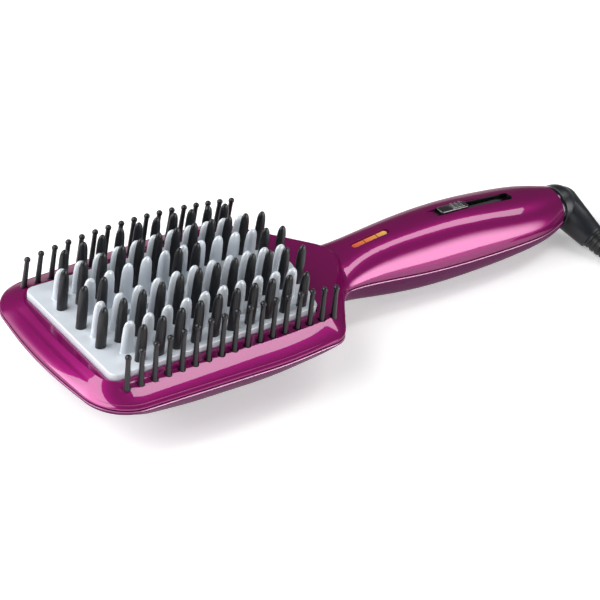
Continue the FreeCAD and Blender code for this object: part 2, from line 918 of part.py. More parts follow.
def over(line, start, end):
    return [(start, line(start)), (end, line(end)), (end, far_out), (start, far_out)]


def lens_seat(x):
    return lens_line(x, size("lens_seat_drop"))


def lens_top(x):
    return lens_line(x, size("lens_sink"))


def stadium(start, end, width):
    return [(Vector(x, y * width / 2, 0), slot_end_share * width)
            for x, y in ((start, -1), (end, -1), (end, 1), (start, 1))]


button_middle = size("button_start") + size("button_length") / 2
stem_half = size("stem_length") / 2
stem_first = button_middle - stem_half - size("slit_margin")
stem_last = button_middle + size("button_travel") + stem_half + size("slit_margin")
switch_start = stem_first - size("switch_end_wall")
switch_end = stem_last + size("switch_end_wall")
board_start = size("board_start")
board_end = switch_end + size("board_end_margin")
seat_margin = size("seat_margin")
slot_start = size("slot_start")
slot_end = size("slot_end")
scoop_start = size("scoop_start")
lens_flange_side = size("lens_flange_side")
track_seat_block = side_block(
    over(track_seat, slot_start - 2 * seat_margin, slot_end + 2 * seat_margin),
    size("track_flange_width") / 2 + seat_margin)
lens_seat_block = side_block(
    over(lens_seat, lens_start - 2 * seat_margin, lens_end + 2 * seat_margin),
    size("lens_width") / 2 + lens_flange_side + seat_margin)


def scoop_floor(x):
    share = (x - scoop_start) / (slot_start - scoop_start)
    return handle_top(scoop_start) - size("scoop_depth") * share


scoop_cut = side_block(over(scoop_floor, scoop_start, slot_start + size("slot_width") / 2),
                       size("slot_width") / 2)


# Front shell

front_bosses = [track_seat_block, lens_seat_block]
for x, y in carrier_screws:
    front_bosses.append(cylinder(size("carrier_boss_radius"), Vector(x, y, carrier_top),
                                 Vector(x, y, land_height)))
for x, y in shell_screws:
    front_bosses.append(cylinder(size("boss_radius"), Vector(x, y, parting_height(x) + half_gap),
                                 Vector(x, y, far_out)))
spigot = cylinder(size("spigot_radius"), Vector(inner_end, 0, swivel_height),
                  Vector(ring_end, 0, swivel_height))
bush_seat = cylinder(size("bush_radius") + running,
                     Vector(inner_end - overrun, 0, swivel_height),
                     Vector(ring_end + overrun, 0, swivel_height))
front = outer_front.cut(head_space.cut(front_bosses)).cut(handle_space.cut(front_bosses))
front = front.fuse(spigot.common(above)).cut(bush_seat)
# An opening in the wall between the head and the handle lets the heater wires through.
passage_top = seam_height + fit
wire_passage = box(Vector(size("wire_passage_start"), -size("wire_passage_half"),
                          passage_top - size("wire_passage_depth")),
                   Vector(size("shell_screw_neck") - size("boss_radius") - fit,
                          size("wire_passage_half"), passage_top))
front_cuts = [
    wire_passage,
    prism(inset(plate_outline, -size("plate_gap")), ceiling - fit, land_height + overrun),
    prism(stadium(lens_start, lens_end, size("lens_width")), board_top, far_out),
    prism(stadium(slot_start, slot_end, size("slot_width")), board_top, far_out),
    scoop_cut,
]
for side in (-1, 1):
    for i in range(pin_places):
        front_cuts.append(pin_socket(side, i))
for x, y in carrier_screws:
    front_cuts.append(screw_hole(x, y, carrier_top - overrun, carrier_screw_top))


def shell_screw_seat(x):
    return parting_height(x) - half_gap - size("shell_screw_floor")


def shell_screw_top(x):
    return parting_height(x) + half_gap + size("shell_screw_grip")


for x, y in shell_screws:
    front_cuts.append(screw_hole(x, y, shell_screw_seat(x), shell_screw_top(x)))
front = front.cut(front_cuts)


# Rear shell

rear_bosses = []
for x, y in shell_screws:
    rear_bosses.append(cylinder(size("boss_radius"), Vector(x, y, -overrun),
                                Vector(x, y, parting_height(x) - half_gap)))
for x in (size("post_start"), board_end - size("post_end_inset")):
    for side in (-1, 1):
        y = side * size("post_row")
        rear_bosses.append(cylinder(size("post_radius"), Vector(x, y, -overrun),
                                    Vector(x, y, board_bottom)))
rear = outer_rear.cut(head_space.cut(rear_bosses)).cut(handle_space.cut(rear_bosses))
rear = rear.fuse(spigot.common(below)).cut(bush_seat)
rear_cuts = [wire_passage]
for x, y in shell_screws:
    seat = shell_screw_seat(x)
    rear_cuts.append(screw_hole(x, y, seat - overrun, far_out))
    rear_cuts.append(cylinder(screw_head_radius + fit, Vector(x, y, -overrun), Vector(x, y, seat)))
rear = rear.cut(rear_cuts)
print("shells", len(front.Solids), len(rear.Solids), round(front.Volume), round(rear.Volume))
parts["front_shell"] = feature("front_shell", front)
parts["rear_shell"] = feature("rear_shell", rear)

shell_screw_shapes = []
for i, (x, y) in enumerate(shell_screws):
    seat = shell_screw_seat(x)
    body = screw("ShellScrew%d" % i, shell_screw_top(x) - fit - seat)
    shell_screw_shapes.append(moved(body.Shape, x, y, seat))
parts["shell_screws"] = feature("shell_screws", Part.makeCompound(shell_screw_shapes))


# Circuit board, switch, track, button, lens and lights

half_board = size("board_width") / 2
board_corners = [(Vector(x, y * half_board, 0), size("board_corner"))
                 for x, y in ((board_start, -1), (board_end, -1), (board_end, 1), (board_start, 1))]
parts["main_board"] = padded("main_board", [
    (segments(board_corners), board_bottom, "board_thickness")])

stem_low = board_top + size("stem_rise")
stem_fall = size("button_travel") * size("track_slope")
switch_block = doc.addObject("Part::Box", "SwitchBlock")
switch_block.Length = switch_end - switch_start
switch_block.setExpression("Width", "Sizes.switch_width")
switch_block.setExpression("Height", "Sizes.switch_height")
switch_block.Placement.Base = Vector(switch_start, -size("switch_width") / 2, board_top)
groove_block = doc.addObject("Part::Box", "SwitchGroove")
groove_block.Length = stem_last - stem_first
groove_block.setExpression("Width", "Sizes.stem_width + 2 * Sizes.stem_side_gap")
groove_block.setExpression("Height", "2 * Sizes.switch_height")
groove_block.Placement.Base = Vector(stem_first, -size("stem_width") / 2 - size("stem_side_gap"),
                                     stem_low - stem_fall - moving)
slide_switch = doc.addObject("Part::Cut", "slide_switch")
slide_switch.Base = switch_block
slide_switch.Tool = groove_block
parts["slide_switch"] = slide_switch

track_gap = 2 * fit
raised = prism(stadium(slot_start + track_gap, slot_end - track_gap, size("slot_width") - 2 * track_gap),
               board_top, far_out)
raised = raised.cut(side_block(over(track_top, scoop_start - overrun, slot_end + overrun), far_out))
raised = raised.cut(side_block(
    [(x, z) for x, z in ((scoop_start, 0), (slot_end + overrun, 0),
                         (slot_end + overrun, track_seat(slot_end + overrun)),
                         (scoop_start, track_seat(scoop_start)))], far_out))
flange = side_block(band(track_seat, slot_start - seat_margin, slot_end + seat_margin,
                         size("track_flange")), size("track_flange_width") / 2)
slit_half = size("stem_width") / 2 + moving
slit = box(Vector(stem_first, -slit_half, board_top), Vector(stem_last, slit_half, far_out))
parts["switch_track"] = feature("switch_track", raised.fuse(flange).cut(slit).removeSplitter())

slide_angle = math.atan(handle_middle_slope)
along = Vector(math.cos(slide_angle), 0, math.sin(slide_angle))
upward = Vector(-math.sin(slide_angle), 0, math.cos(slide_angle))
button_foot = Vector(size("button_start"), 0, track_top(size("button_start"))) + upward * moving
button_length = size("button_length")
rib_width = size("button_rib_width")
button_edge = size("button_edge")
thick = size("button_thickness")
button_points = [(0, 0), (button_length, 0), (button_length, thick - button_edge),
                 (button_length - button_edge, thick)]
for i in (1, 0, -1):
    rib = button_length / 2 + size("button_rib_shift") + i * size("button_rib_pitch")
    button_points.append((rib + rib_width / 2, thick))
    button_points.append((rib + rib_width / 2, thick + size("button_rib_height")))
    button_points.append((rib - rib_width / 2, thick + size("button_rib_height")))
    button_points.append((rib - rib_width / 2, thick))
button_points.append((button_edge, thick))
button_points.append((0, thick - button_edge))
button_profile = []
for u, v in button_points:
    point = button_foot + along * u + upward * v
    button_profile.append((point.x, point.z))
button_blank = side_padded("ButtonBlank", button_profile,
                           "slot_width - 2 * Sizes.moving_clearance")
stem = doc.addObject("Part::Box", "ButtonStem")
stem.setExpression("Length", "Sizes.stem_length")
stem.setExpression("Width", "Sizes.stem_width")
stem.Height = track_top(button_middle) + 2 * moving + thick / 2 - stem_low
stem.Placement.Base = Vector(button_middle - stem_half, -size("stem_width") / 2, stem_low)
slide_button = doc.addObject("Part::Fuse", "slide_button")
slide_button.Base = button_blank
slide_button.Tool = stem
slide_button.Refine = True
parts["slide_button"] = slide_button

lens_shape = prism(stadium(lens_start + fit, lens_end - fit, size("lens_width") - 2 * fit),
                   board_top, far_out)
lens_shape = lens_shape.cut(side_block(over(lens_top, lens_start - overrun, lens_end + overrun),
                                       far_out))
lens_shape = lens_shape.common(side_block(over(lens_seat, lens_start, lens_end), far_out))
lens_shape = lens_shape.fuse(side_block(
    band(lens_seat, lens_start - seat_margin, lens_end + seat_margin, size("lens_flange")),
    size("lens_width") / 2 + lens_flange_side))
light_places = []
led_top = board_top + size("led_height")
led_half = size("led_size") / 2
lens_legs = []
for i in range(3):
    x = lens_start + (lens_end - lens_start) * (2 * i + 1) / 6
    light_places.append(x)
    lens_legs.append(box(Vector(x - led_half, -led_half, led_top + moving),
                         Vector(x + led_half, led_half, lens_seat(x) - size("lens_flange") / 2)))
lens_shape = lens_shape.fuse(lens_legs).removeSplitter()
parts["indicator_lens"] = feature("indicator_lens", lens_shape)
leds = [box(Vector(x - led_half, -led_half, board_top), Vector(x + led_half, led_half, led_top))
        for x in light_places]
parts["indicator_leds"] = feature("indicator_leds", Part.makeCompound(leds))


# Wires inside

wire_radius = size("wire_radius")
wire_low = carrier_bottom - wire_radius
heater_end = heater_start + size("heater_length")
wire_on_board = board_top + wire_radius
# Each row: shares of the board's start, the heaters' row and the seam's height.
heater_wire_shares = ((0.595, 0.852, 0.882), (0.786, 0.276, 0.945), (0.905, 0.281, 0.900),
                      (1.0, 0.261, 0.738))
heater_wires = []
mains_wires = []
stub_start = handle_end - size("bush_length") - moving - size("clip_length") - size("stub_nose")
wire_apart = size("mains_wire_row")
for side in (-1, 1):
    points = [Vector(heater_end - size("wire_overlap"), side * heater_row, wire_low)]
    for x_share, y_share, z_share in heater_wire_shares:
        points.append(Vector(x_share * board_start, side * y_share * heater_row, z_share * seam_height))
    points.append(Vector(board_start + 2 * size("wire_overlap"), points[-1].y, wire_on_board))
    heater_wires.append(route_tube(points, wire_radius))
    points = [Vector(board_end - size("wire_overlap"), 2 * side * wire_apart, wire_on_board),
              Vector(board_end + size("wire_overlap"), 1.7 * side * wire_apart, wire_on_board),
              Vector(stub_start - size("stub_nose") / 2, side * wire_apart, swivel_height),
              Vector(stub_start + size("bush_length") - size("stub_nose"), side * wire_apart,
                     swivel_height)]
    mains_wires.append(route_tube(points, wire_radius))
print("wire bends", [round(radius, 1) for radius in bend_radii])
parts["heater_wires"] = feature("heater_wires", Part.makeCompound(heater_wires))
parts["mains_wires"] = feature("mains_wires", Part.makeCompound(mains_wires))


# Swivel at the handle's end

stub_radius = size("stub_radius")
bush_start = handle_end - size("bush_length")
clip_end = bush_start - moving
clip_start = clip_end - size("clip_length")
groove_radius = stub_radius - size("clip_groove")
spigot_fit = size("spigot_radius") + running
parts["end_ring"] = turned("end_ring", [
    (handle_end, spigot_fit), (ring_end, spigot_fit), (ring_end, size("ring_radius")),
    (handle_end, size("ring_radius"))], "H_Axis", swivel_height)
parts["swivel_bush"] = turned("swivel_bush", [
    (bush_start, stub_radius + running), (handle_end, stub_radius + running),
    (handle_end, size("bush_radius")), (bush_start, size("bush_radius"))], "H_Axis", swivel_height)
parts["swivel_clip"] = turned("swivel_clip", [
    (clip_start, groove_radius + running), (clip_end, groove_radius + running),
    (clip_end, size("clip_radius")), (clip_start, size("clip_radius"))], "H_Axis", swivel_height)

dome_start = ring_end + moving
elbow_radius = size("elbow_radius")
ball_middle = dome_start + size("elbow_dome") - elbow_radius
groove_side = running
stub = turned("ElbowStub", [
    (stub_start, 0), (stub_start, stub_radius), (clip_start - groove_side, stub_radius),
    (clip_start - groove_side, groove_radius), (clip_end + groove_side, groove_radius),
    (clip_end + groove_side, stub_radius), (dome_start, stub_radius), (dome_start, elbow_radius),
    (ball_middle, elbow_radius), (ball_middle, 0)], "H_Axis", swivel_height)
boot_turn = math.radians(size("elbow_turn"))
boot_dip = math.radians(size("elbow_dip"))
level_heading = Vector(math.cos(boot_turn), -math.sin(boot_turn), 0)
boot_heading = level_heading * math.cos(boot_dip) - Vector(0, 0, math.sin(boot_dip))
boot_start = Vector(dome_start + size("elbow_offset"), 0, swivel_height)
# The boot is as long as brings the cord out of its relief level, at the height of the coil.
cord_radius = size("cord_diameter") / 2
coil_low = cord_radius + size("tie_thickness") + fit
relief_bend = size("relief_length") / boot_dip
relief_fall = relief_bend * (1 - math.cos(boot_dip))
elbow_reach = (swivel_height - coil_low - relief_fall) / math.sin(boot_dip)
boot = Part.makeCone(size("elbow_root_radius"), size("elbow_tip_radius"), elbow_reach,
                     boot_start, boot_heading)
knuckle = Part.makeSphere(size("elbow_root_radius"), boot_start, -boot_heading, 0, 90, 360)
beyond_ring = box(Vector(dome_start, -far_out, -far_out), Vector(far_out, far_out, far_out))
boot = boot.fuse(knuckle).removeSplitter().common(beyond_ring)
dome = Part.makeSphere(elbow_radius, Vector(ball_middle, 0, swivel_height), Vector(1, 0, 0), 0, 90, 360)
elbow_bore = cylinder(size("stub_bore"), Vector(stub_start - overrun, 0, swivel_height), boot_start)
elbow_shape = stub.Shape.fuse(dome).fuse(boot).cut(elbow_bore).removeSplitter()
print("elbow", len(elbow_shape.Solids), round(elbow_shape.Volume))
parts["swivel_elbow"] = feature("swivel_elbow", elbow_shape)

relief_start = boot_start + boot_heading * elbow_reach
relief_wires = []
relief_stations = 5
for i in range(relief_stations):
    share = i / (relief_stations - 1)
    dip = boot_dip * (1 - share)
    heading = level_heading * math.cos(dip) - Vector(0, 0, math.sin(dip))
    ahead = relief_bend * (math.sin(boot_dip) - math.sin(dip))
    fall = relief_bend * (math.cos(dip) - math.cos(boot_dip))
    centre = relief_start + level_heading * ahead - Vector(0, 0, fall)
    radius = size("relief_root_radius") + share * (
        cord_radius + size("relief_tip_wall") - size("relief_root_radius"))
    relief_wires.append(Part.Wire([Part.Circle(centre, heading, radius).toShape()]))
relief_end = centre
parts["strain_relief"] = feature("strain_relief", Part.makeLoft(relief_wires, True))


# Mains cord: lead, coil with its tie, tail and plug

coil_rise = size("coil_step")
coil_step = size("coil_step")
coil_turns = 7.5
climb_start = 3.5
climb_end = 4.0
climb_middle = (climb_start + climb_end) / 2
least_radius = size("coil_radius") - coil_step * (climb_start / 2)
climb_edge = 2 * coil_step * (climb_start - climb_middle) ** 2


def coil_radius_at(turn):
    if turn < climb_start:
        return least_radius + climb_edge + coil_step * (climb_start - turn)
    if turn > climb_end:
        return least_radius + climb_edge + coil_step * (turn - climb_end)
    return least_radius + 2 * coil_step * (turn - climb_middle) ** 2


coil_start_radius = coil_radius_at(0)
lead_run = size("coil_clear") / level_heading.x
lead_corner = relief_end + level_heading * lead_run
coil_start = lead_corner - Vector(0, size("lead_last_run"), 0)
coil_middle = coil_start + Vector(coil_start_radius, 0, -coil_low)


def coil_point(turn):
    angle = math.pi + 2 * math.pi * turn
    share = min(max((turn - climb_start) / (climb_end - climb_start), 0), 1)
    height = coil_low + coil_rise * share * share * (3 - 2 * share)
    radius = coil_radius_at(turn)
    return coil_middle + Vector(radius * math.cos(angle), radius * math.sin(angle), height)


turn_grain = 1e-5


def coil_heading(turn):
    if turn == 0:
        return Vector(0, -1, 0)
    if turn == coil_turns:
        return Vector(0, 1, 0)
    return (coil_point(turn + turn_grain) - coil_point(turn - turn_grain)).normalize()


def bend_between(start, corner, end):
    middle = (start + end) / 2
    cosine = (start - middle).Length / (corner - start).Length
    return Part.Arc(start, middle + (corner - middle) * (cosine / (1 + cosine)), end)


def two_bends(start, heading, end, end_heading):
    reach = end - start
    both = heading + end_heading
    spread = 2 * (1 - heading.dot(end_heading))
    cross = reach.dot(both)
    length = (-cross + math.sqrt(cross * cross + spread * reach.dot(reach))) / spread
    first = start + heading * length
    second = end - end_heading * length
    join = (first + second) / 2
    return [bend_between(start, first, join), bend_between(join, second, end)]


coil_arcs = []
half_turns = round(2 * coil_turns)
for i in range(half_turns):
    coil_arcs.extend(two_bends(coil_point(i / 2), coil_heading(i / 2),
                               coil_point((i + 1) / 2), coil_heading((i + 1) / 2)))
coil_edges = [arc.toShape() for arc in coil_arcs]
coil_shape = swept(coil_edges, coil_start, Vector(0, -1, 0), cord_radius)
parts["cord_coil"] = feature("cord_coil", coil_shape)

samples = []
run_so_far = 0.0
arc_samples = 24
for edge in coil_edges:
    for i in range(arc_samples):
        samples.append((run_so_far + edge.Length * i / arc_samples,
                        edge.Curve.value(edge.FirstParameter + (edge.LastParameter - edge.FirstParameter)
                                         * i / arc_samples)))
    run_so_far += edge.Length
far_along = math.pi * least_radius
least_gap = min((p - q).Length for i, (s, p) in enumerate(samples)
                for t, q in samples[i + 1:] if t - s > far_along) - 2 * cord_radius
print("coil length", round(run_so_far), "least gap", round(least_gap, 2),
      "least bend", round(min(edge.Curve.Radius for edge in coil_edges), 1), len(coil_shape.Solids))

bend_radii.clear()
lead_points = [relief_end + level_heading * running, lead_corner, coil_start]
parts["cord_lead"] = feature("cord_lead", route_tube(lead_points, cord_radius))
coil_end = coil_point(coil_turns)
plug_axis = size("plug_height") / 2
tail_run = size("tail_run")
tail_points = [coil_end, coil_end + Vector(0, tail_run, 0),
               Vector(coil_end.x - size("tail_side"), coil_end.y + 2 * tail_run, plug_axis),
               Vector(coil_end.x - size("tail_side"), coil_end.y + 3 * tail_run, plug_axis)]
parts["cord_tail"] = feature("cord_tail", route_tube(tail_points, cord_radius))
lead_length = sum((b - a).Length for a, b in zip(lead_points, lead_points[1:]))
tail_length = sum((b - a).Length for a, b in zip(tail_points, tail_points[1:]))
print("cord bends", [round(radius, 1) for radius in bend_radii],
      "cord length", round(lead_length + run_so_far + tail_length))

tie_turns = [k + 0.75 for k in range(7)]
tie_half = size("tie_width") / 2
inner_reach = min(coil_radius_at(turn) for turn in tie_turns) - cord_radius
outer_reach = max(coil_radius_at(turn) for turn in tie_turns) + cord_radius
tie_low_y = coil_middle.y + math.sqrt(inner_reach ** 2 - tie_half ** 2) - 2 * fit
tie_high_y = coil_middle.y + outer_reach + 2 * fit
tie_low_z = coil_low - cord_radius - running
tie_high_z = coil_low + coil_rise + cord_radius + running


def tie_loop(grow):
    return [(Vector(y, z, 0), size("tie_corner") + grow) for y, z in (
        (tie_low_y - grow, tie_low_z - grow), (tie_high_y + grow, tie_low_z - grow),
        (tie_high_y + grow, tie_high_z + grow), (tie_low_y - grow, tie_high_z + grow))]


tie = prism(tie_loop(size("tie_thickness")), -tie_half, tie_half)
tie = tie.cut(prism(tie_loop(0.0), -tie_half - overrun, tie_half + overrun))
tie.rotate(Vector(0, 0, 0), Vector(1, 1, 1), 120)
tie.translate(Vector(coil_middle.x, 0, 0))
parts["cord_tie"] = feature("cord_tie", tie)

plug_start = tail_points[-1]
plug_half = size("plug_width") / 2
plug_back_half = plug_half * plug_back_share
plug_end = plug_start.y + size("plug_length")
plug_corners = [(Vector(plug_start.x + x, y, 0), size("plug_corner")) for x, y in (
    (-plug_back_half, plug_start.y), (plug_back_half, plug_start.y),
    (plug_half, plug_start.y + size("plug_length") * plug_flare_share), (plug_half, plug_end),
    (-plug_half, plug_end), (-plug_half, plug_start.y + size("plug_length") * plug_flare_share))]
parts["plug_body"] = padded("plug_body", [(segments(plug_corners), 0.0, "plug_height")])
plug_pins = []
for side in (-1, 1):
    x = plug_start.x + side * size("pin_spacing_plug") / 2
    plug_pins.append(cylinder(size("plug_pin_radius"), Vector(x, plug_end, plug_axis),
                              Vector(x, plug_end + size("plug_pin_length"), plug_axis)))
parts["plug_pins"] = feature("plug_pins", Part.makeCompound(plug_pins))


# Check and write

doc.recompute()
for item in doc.Objects:
    if "Invalid" in item.State or "Error" in item.State:
        raise RuntimeError("%s is not sound: %s" % (item.Name, item.State))
for name, obj in parts.items():
    if obj.Shape.isNull() or not obj.Shape.isValid():
        raise RuntimeError("%s has no sound shape" % name)
os.makedirs("parts", exist_ok=True)
for name, obj in parts.items():
    obj.Shape.exportStep("parts/%s.step" % name)
print(len(parts), "nodes written")
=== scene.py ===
import bmesh
import bpy
import json
import math
import numpy as np
from mathutils import Matrix, Vector


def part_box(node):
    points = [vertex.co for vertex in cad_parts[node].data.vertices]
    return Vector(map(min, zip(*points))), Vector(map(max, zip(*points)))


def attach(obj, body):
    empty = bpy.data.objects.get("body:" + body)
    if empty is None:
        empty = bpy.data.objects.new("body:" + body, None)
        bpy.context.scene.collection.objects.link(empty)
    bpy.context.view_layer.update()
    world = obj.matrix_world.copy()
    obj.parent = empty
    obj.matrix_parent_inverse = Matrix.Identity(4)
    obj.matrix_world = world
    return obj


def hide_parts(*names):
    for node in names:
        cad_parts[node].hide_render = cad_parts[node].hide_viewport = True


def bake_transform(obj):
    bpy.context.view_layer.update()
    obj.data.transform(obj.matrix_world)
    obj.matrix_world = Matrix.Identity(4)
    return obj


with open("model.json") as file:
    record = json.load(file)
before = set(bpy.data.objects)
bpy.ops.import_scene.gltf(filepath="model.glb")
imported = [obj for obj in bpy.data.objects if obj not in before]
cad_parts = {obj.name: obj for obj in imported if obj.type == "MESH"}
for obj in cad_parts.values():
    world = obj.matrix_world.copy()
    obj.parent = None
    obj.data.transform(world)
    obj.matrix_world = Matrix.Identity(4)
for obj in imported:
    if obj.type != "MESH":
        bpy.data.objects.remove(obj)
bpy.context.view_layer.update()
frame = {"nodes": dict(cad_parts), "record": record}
nodes = frame["nodes"]
mm = 0.001
scene = bpy.context.scene
scene.view_settings.view_transform = "Standard"


def addObject(name, data):
    holder = bpy.data.objects.new(name, data)
    scene.collection.objects.link(holder)
    return holder


# Camera, at the photograph's own viewing angle

cameraSet = {
    "place": (-0.3687, -0.4557, 0.4409),
    "right": (0.78097, -0.60939, 0.13696),
    "up": (0.26344, 0.52020, 0.81241),
    "back": (-0.56631, -0.59837, 0.56679),
    "lens": 111.5, "sensor": 36, "far": 20,
}
cameraData = bpy.data.cameras.new("photoCamera")
cameraData.lens = cameraSet["lens"]
cameraData.sensor_width = cameraSet["sensor"]
cameraData.clip_end = cameraSet["far"]
camera = addObject("photoCamera", cameraData)
turned = Matrix((cameraSet["right"], cameraSet["up"], cameraSet["back"])).transposed()
camera.matrix_world = Matrix.Translation(cameraSet["place"]) @ turned.to_4x4()
scene.camera = camera
print("camera set")


# Materials

def hexColour(text):
    channels = [int(text[i:i + 2], 16) / 255 for i in (1, 3, 5)]
    return [c / 12.92 if c <= 0.04045 else ((c + 0.055) / 1.055) ** 2.4 for c in channels] + [1.0]


def feed(tree, node, inputs):
    for name, value in inputs.items():
        if isinstance(value, bpy.types.NodeSocket):
            tree.links.new(value, node.inputs[name])
        else:
            node.inputs[name].default_value = value


def addNode(tree, kind, inputs=None, **settings):
    node = tree.nodes.new(kind)
    for name, value in settings.items():
        setattr(node, name, value)
    feed(tree, node, inputs or {})
    return node


def addMath(tree, operation, *values):
    return addNode(tree, "ShaderNodeMath", dict(enumerate(values)), operation=operation).outputs[0]


def startMaterial(name, **shaderSet):
    material = bpy.data.materials.new(name)
    material.use_nodes = True
    shader = material.node_tree.nodes["Principled BSDF"]
    for socket, value in shaderSet.items():
        shader.inputs[socket.replace("_", " ")].default_value = value
    return material, material.node_tree, shader


# the grain that moulded and cast finishes share: noise detail, the span used, bump depth in millimetres
grainSet = {"detail": 3.0, "roughness": 0.55, "span": (0.3, 0.7), "depth": 0.05}


def mouldedFinish(name, low, high, grain, roughSpan, bump, **shaderSet):
    # two near colours in a fine grain of that many millimetres
    material, tree, shader = startMaterial(name, **shaderSet)
    place = addNode(tree, "ShaderNodeTexCoord")
    noise = addNode(tree, "ShaderNodeTexNoise", {
        "Vector": place.outputs["Object"], "Scale": 1 / (grain * mm), "Detail": grainSet["detail"],
        "Roughness": grainSet["roughness"]})
    colour = addNode(tree, "ShaderNodeMix", {
        0: noise.outputs["Fac"], 6: hexColour(low), 7: hexColour(high)}, data_type="RGBA")
    rough = addNode(tree, "ShaderNodeMapRange", {
        0: noise.outputs["Fac"], 1: grainSet["span"][0], 2: grainSet["span"][1],
        3: roughSpan[0], 4: roughSpan[1]})
    height = addNode(tree, "ShaderNodeBump", {
        "Height": noise.outputs["Fac"], "Strength": bump, "Distance": grainSet["depth"] * mm})
    feed(tree, shader, {
        "Base Color": colour.outputs[2], "Roughness": rough.outputs[0], "Normal": height.outputs[0]})
    return material


# pearl lacquered ABS: fine flake under a thin clear coat, deep in the shade and pink where light strikes
shellLacquer = mouldedFinish("pearlLacqueredAbs", "#820d5c", "#94146a", 0.6, (0.28, 0.34), 0.02,
                             Metallic=0.55, Specular_IOR_Level=0.1, Specular_Tint=hexColour("#8a3a72"),
                             Coat_Weight=0.16, Coat_Roughness=0.02, Coat_IOR=4.0)
# the rear shell's lacquer is a darker copy of the front one, painted shade for the underside; it has no flake
# and hardly any coat, so it stays a deep maroon over the pale floor
rearShadedLacquer = mouldedFinish("shadedMaroonLacquer", "#520c40", "#60104c", 0.6, (0.38, 0.44), 0.02,
                            Coat_Weight=0.04, Coat_Roughness=0.03, Coat_IOR=4.0, Specular_IOR_Level=0.04)
# a paler lacquer is painted on the rims where the halves meet: a painted highlight, so a fine bright line
# follows the seam
seamHighlightLacquer = mouldedFinish("paintedSeamHighlight", "#a8558c", "#b8689c", 0.6, (0.22, 0.28), 0.02,
                           Metallic=0.2, Coat_Weight=0.16, Coat_Roughness=0.02, Coat_IOR=4.0)
# ceramic-coated cast aluminium: pale satin grey with a faint speckle
plateCoating = mouldedFinish("ceramicCoatedAluminium", "#ced5dd", "#d8dee5", 0.5, (0.34, 0.40), 0.03,
                             Metallic=0.2)
# glass-filled nylon: dark slate, satin
bristleNylon = mouldedFinish("glassFilledNylon", "#08090c", "#111318", 0.8, (0.28, 0.36), 0.10)
# black gloss acrylic-capped ABS of the switch track
trackGloss = mouldedFinish("blackGlossAbs", "#08070a", "#100d11", 0.8, (0.10, 0.16), 0.02)
buttonSatin = mouldedFinish("blackSatinAbs", "#070608", "#0e0c0f", 0.5, (0.3, 0.36), 0.03,
                            Coat_Weight=1.0, Coat_IOR=2.0, Coat_Roughness=0.05)
# soft black PVC and TPE of the cord, plug and swivel
swivelTpe = mouldedFinish("blackTpe", "#101218", "#1b1e26", 0.7, (0.34, 0.42), 0.08)
cordPvc = mouldedFinish("blackPvc", "#0c0d10", "#17181c", 0.7, (0.36, 0.46), 0.10)
strapNylon = mouldedFinish("wovenNylonStrap", "#0b0b0d", "#1c1c20", 0.4, (0.6, 0.8), 0.4)
ringChrome = mouldedFinish("blackChrome", "#46464d", "#5c5c64", 0.6, (0.10, 0.16), 0.02, Metallic=1.0)
pinBrass = mouldedFinish("nickelPlatedBrass", "#b9b6ae", "#cfccc4", 0.6, (0.18, 0.26), 0.05, Metallic=1.0)
# what is inside: finish, two colours, grain, roughness span, bump and metallic, by the record's slot
innerSet = {
    "heat_resin": ("phenolicResin", "#1a1a1c", "#26262a", 0.6, (0.5, 0.6), 0.2, 0.0),
    "heater_ceramic": ("anodisedHeaterCase", "#9a9a96", "#b0afaa", 0.5, (0.4, 0.5), 0.1, 0.9),
    "insulation_film": ("polyimideFilm", "#a8681c", "#c07e28", 1.5, (0.25, 0.35), 0.05, 0.0),
    "sheet_steel": ("zincPlatedSteel", "#8e9092", "#a9abad", 0.7, (0.3, 0.42), 0.1, 1.0),
    "screw_steel": ("blackenedSteel", "#5c5d60", "#77787b", 0.4, (0.3, 0.4), 0.1, 1.0),
    "sensor_glass": ("sensorGlassBead", "#7a4a1c", "#8f5a26", 0.6, (0.1, 0.2), 0.02, 0.0),
    "module_resin": ("pottedEpoxy", "#0e0e10", "#18181b", 1.2, (0.4, 0.55), 0.2, 0.0),
    "wire_silicone": ("siliconeSleeve", "#b8b09e", "#cbc4b4", 0.8, (0.45, 0.55), 0.1, 0.0),
    "board_laminate": ("glassEpoxyLaminate", "#15502a", "#1d6435", 0.7, (0.35, 0.45), 0.1, 0.0),
    "switch_resin": ("pbtResin", "#141416", "#202023", 0.6, (0.45, 0.55), 0.15, 0.0),
    "led_resin": ("ledEpoxy", "#d8d2bd", "#e6e1cf", 0.5, (0.15, 0.2), 0.02, 0.0),
}
innerFinishes = {slot: mouldedFinish(*finish[:-1], Metallic=finish[-1]) for slot, finish in innerSet.items()}
print("materials made")


# Making pieces

def meshFrom(bm, name):
    mesh = bpy.data.meshes.new(name)
    bm.to_mesh(mesh)
    bm.free()
    return mesh


def finishPiece(name, bm, material, body="brush", sharp=35):
    bmesh.ops.recalc_face_normals(bm, faces=bm.faces)
    bmesh.ops.scale(bm, vec=(mm, mm, mm), verts=bm.verts)
    piece = addObject(name, meshFrom(bm, name))
    dress(piece, material, sharp)
    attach(piece, body)
    return piece


def dress(piece, material, sharp):
    piece.data.materials.clear()
    piece.data.materials.append(material)
    piece.data.polygons.foreach_set("use_smooth", [True] * len(piece.data.polygons))
    piece.data.set_sharp_from_angle(angle=math.radians(sharp))


def spunMesh(profile, steps):
    # a profile of (radius, height) turned about Z
    bm = bmesh.new()
    verts = [bm.verts.new((radius, 0, height)) for radius, height in profile]
    edges = [bm.edges.new(pair) for pair in zip(verts, verts[1:])]
    bmesh.ops.spin(bm, geom=verts + edges, cent=(0, 0, 0), axis=(0, 0, 1), angle=math.tau,
                   steps=steps, use_merge=True)
    bmesh.ops.remove_doubles(bm, verts=bm.verts, dist=1e-4)
    bmesh.ops.recalc_face_normals(bm, faces=bm.faces)
    return meshFrom(bm, "spun")


def stamp(bm, mesh, matrix):
    first = len(bm.verts)
    bm.from_mesh(mesh)
    bm.verts.ensure_lookup_table()
    bmesh.ops.transform(bm, matrix=matrix, verts=bm.verts[first:])


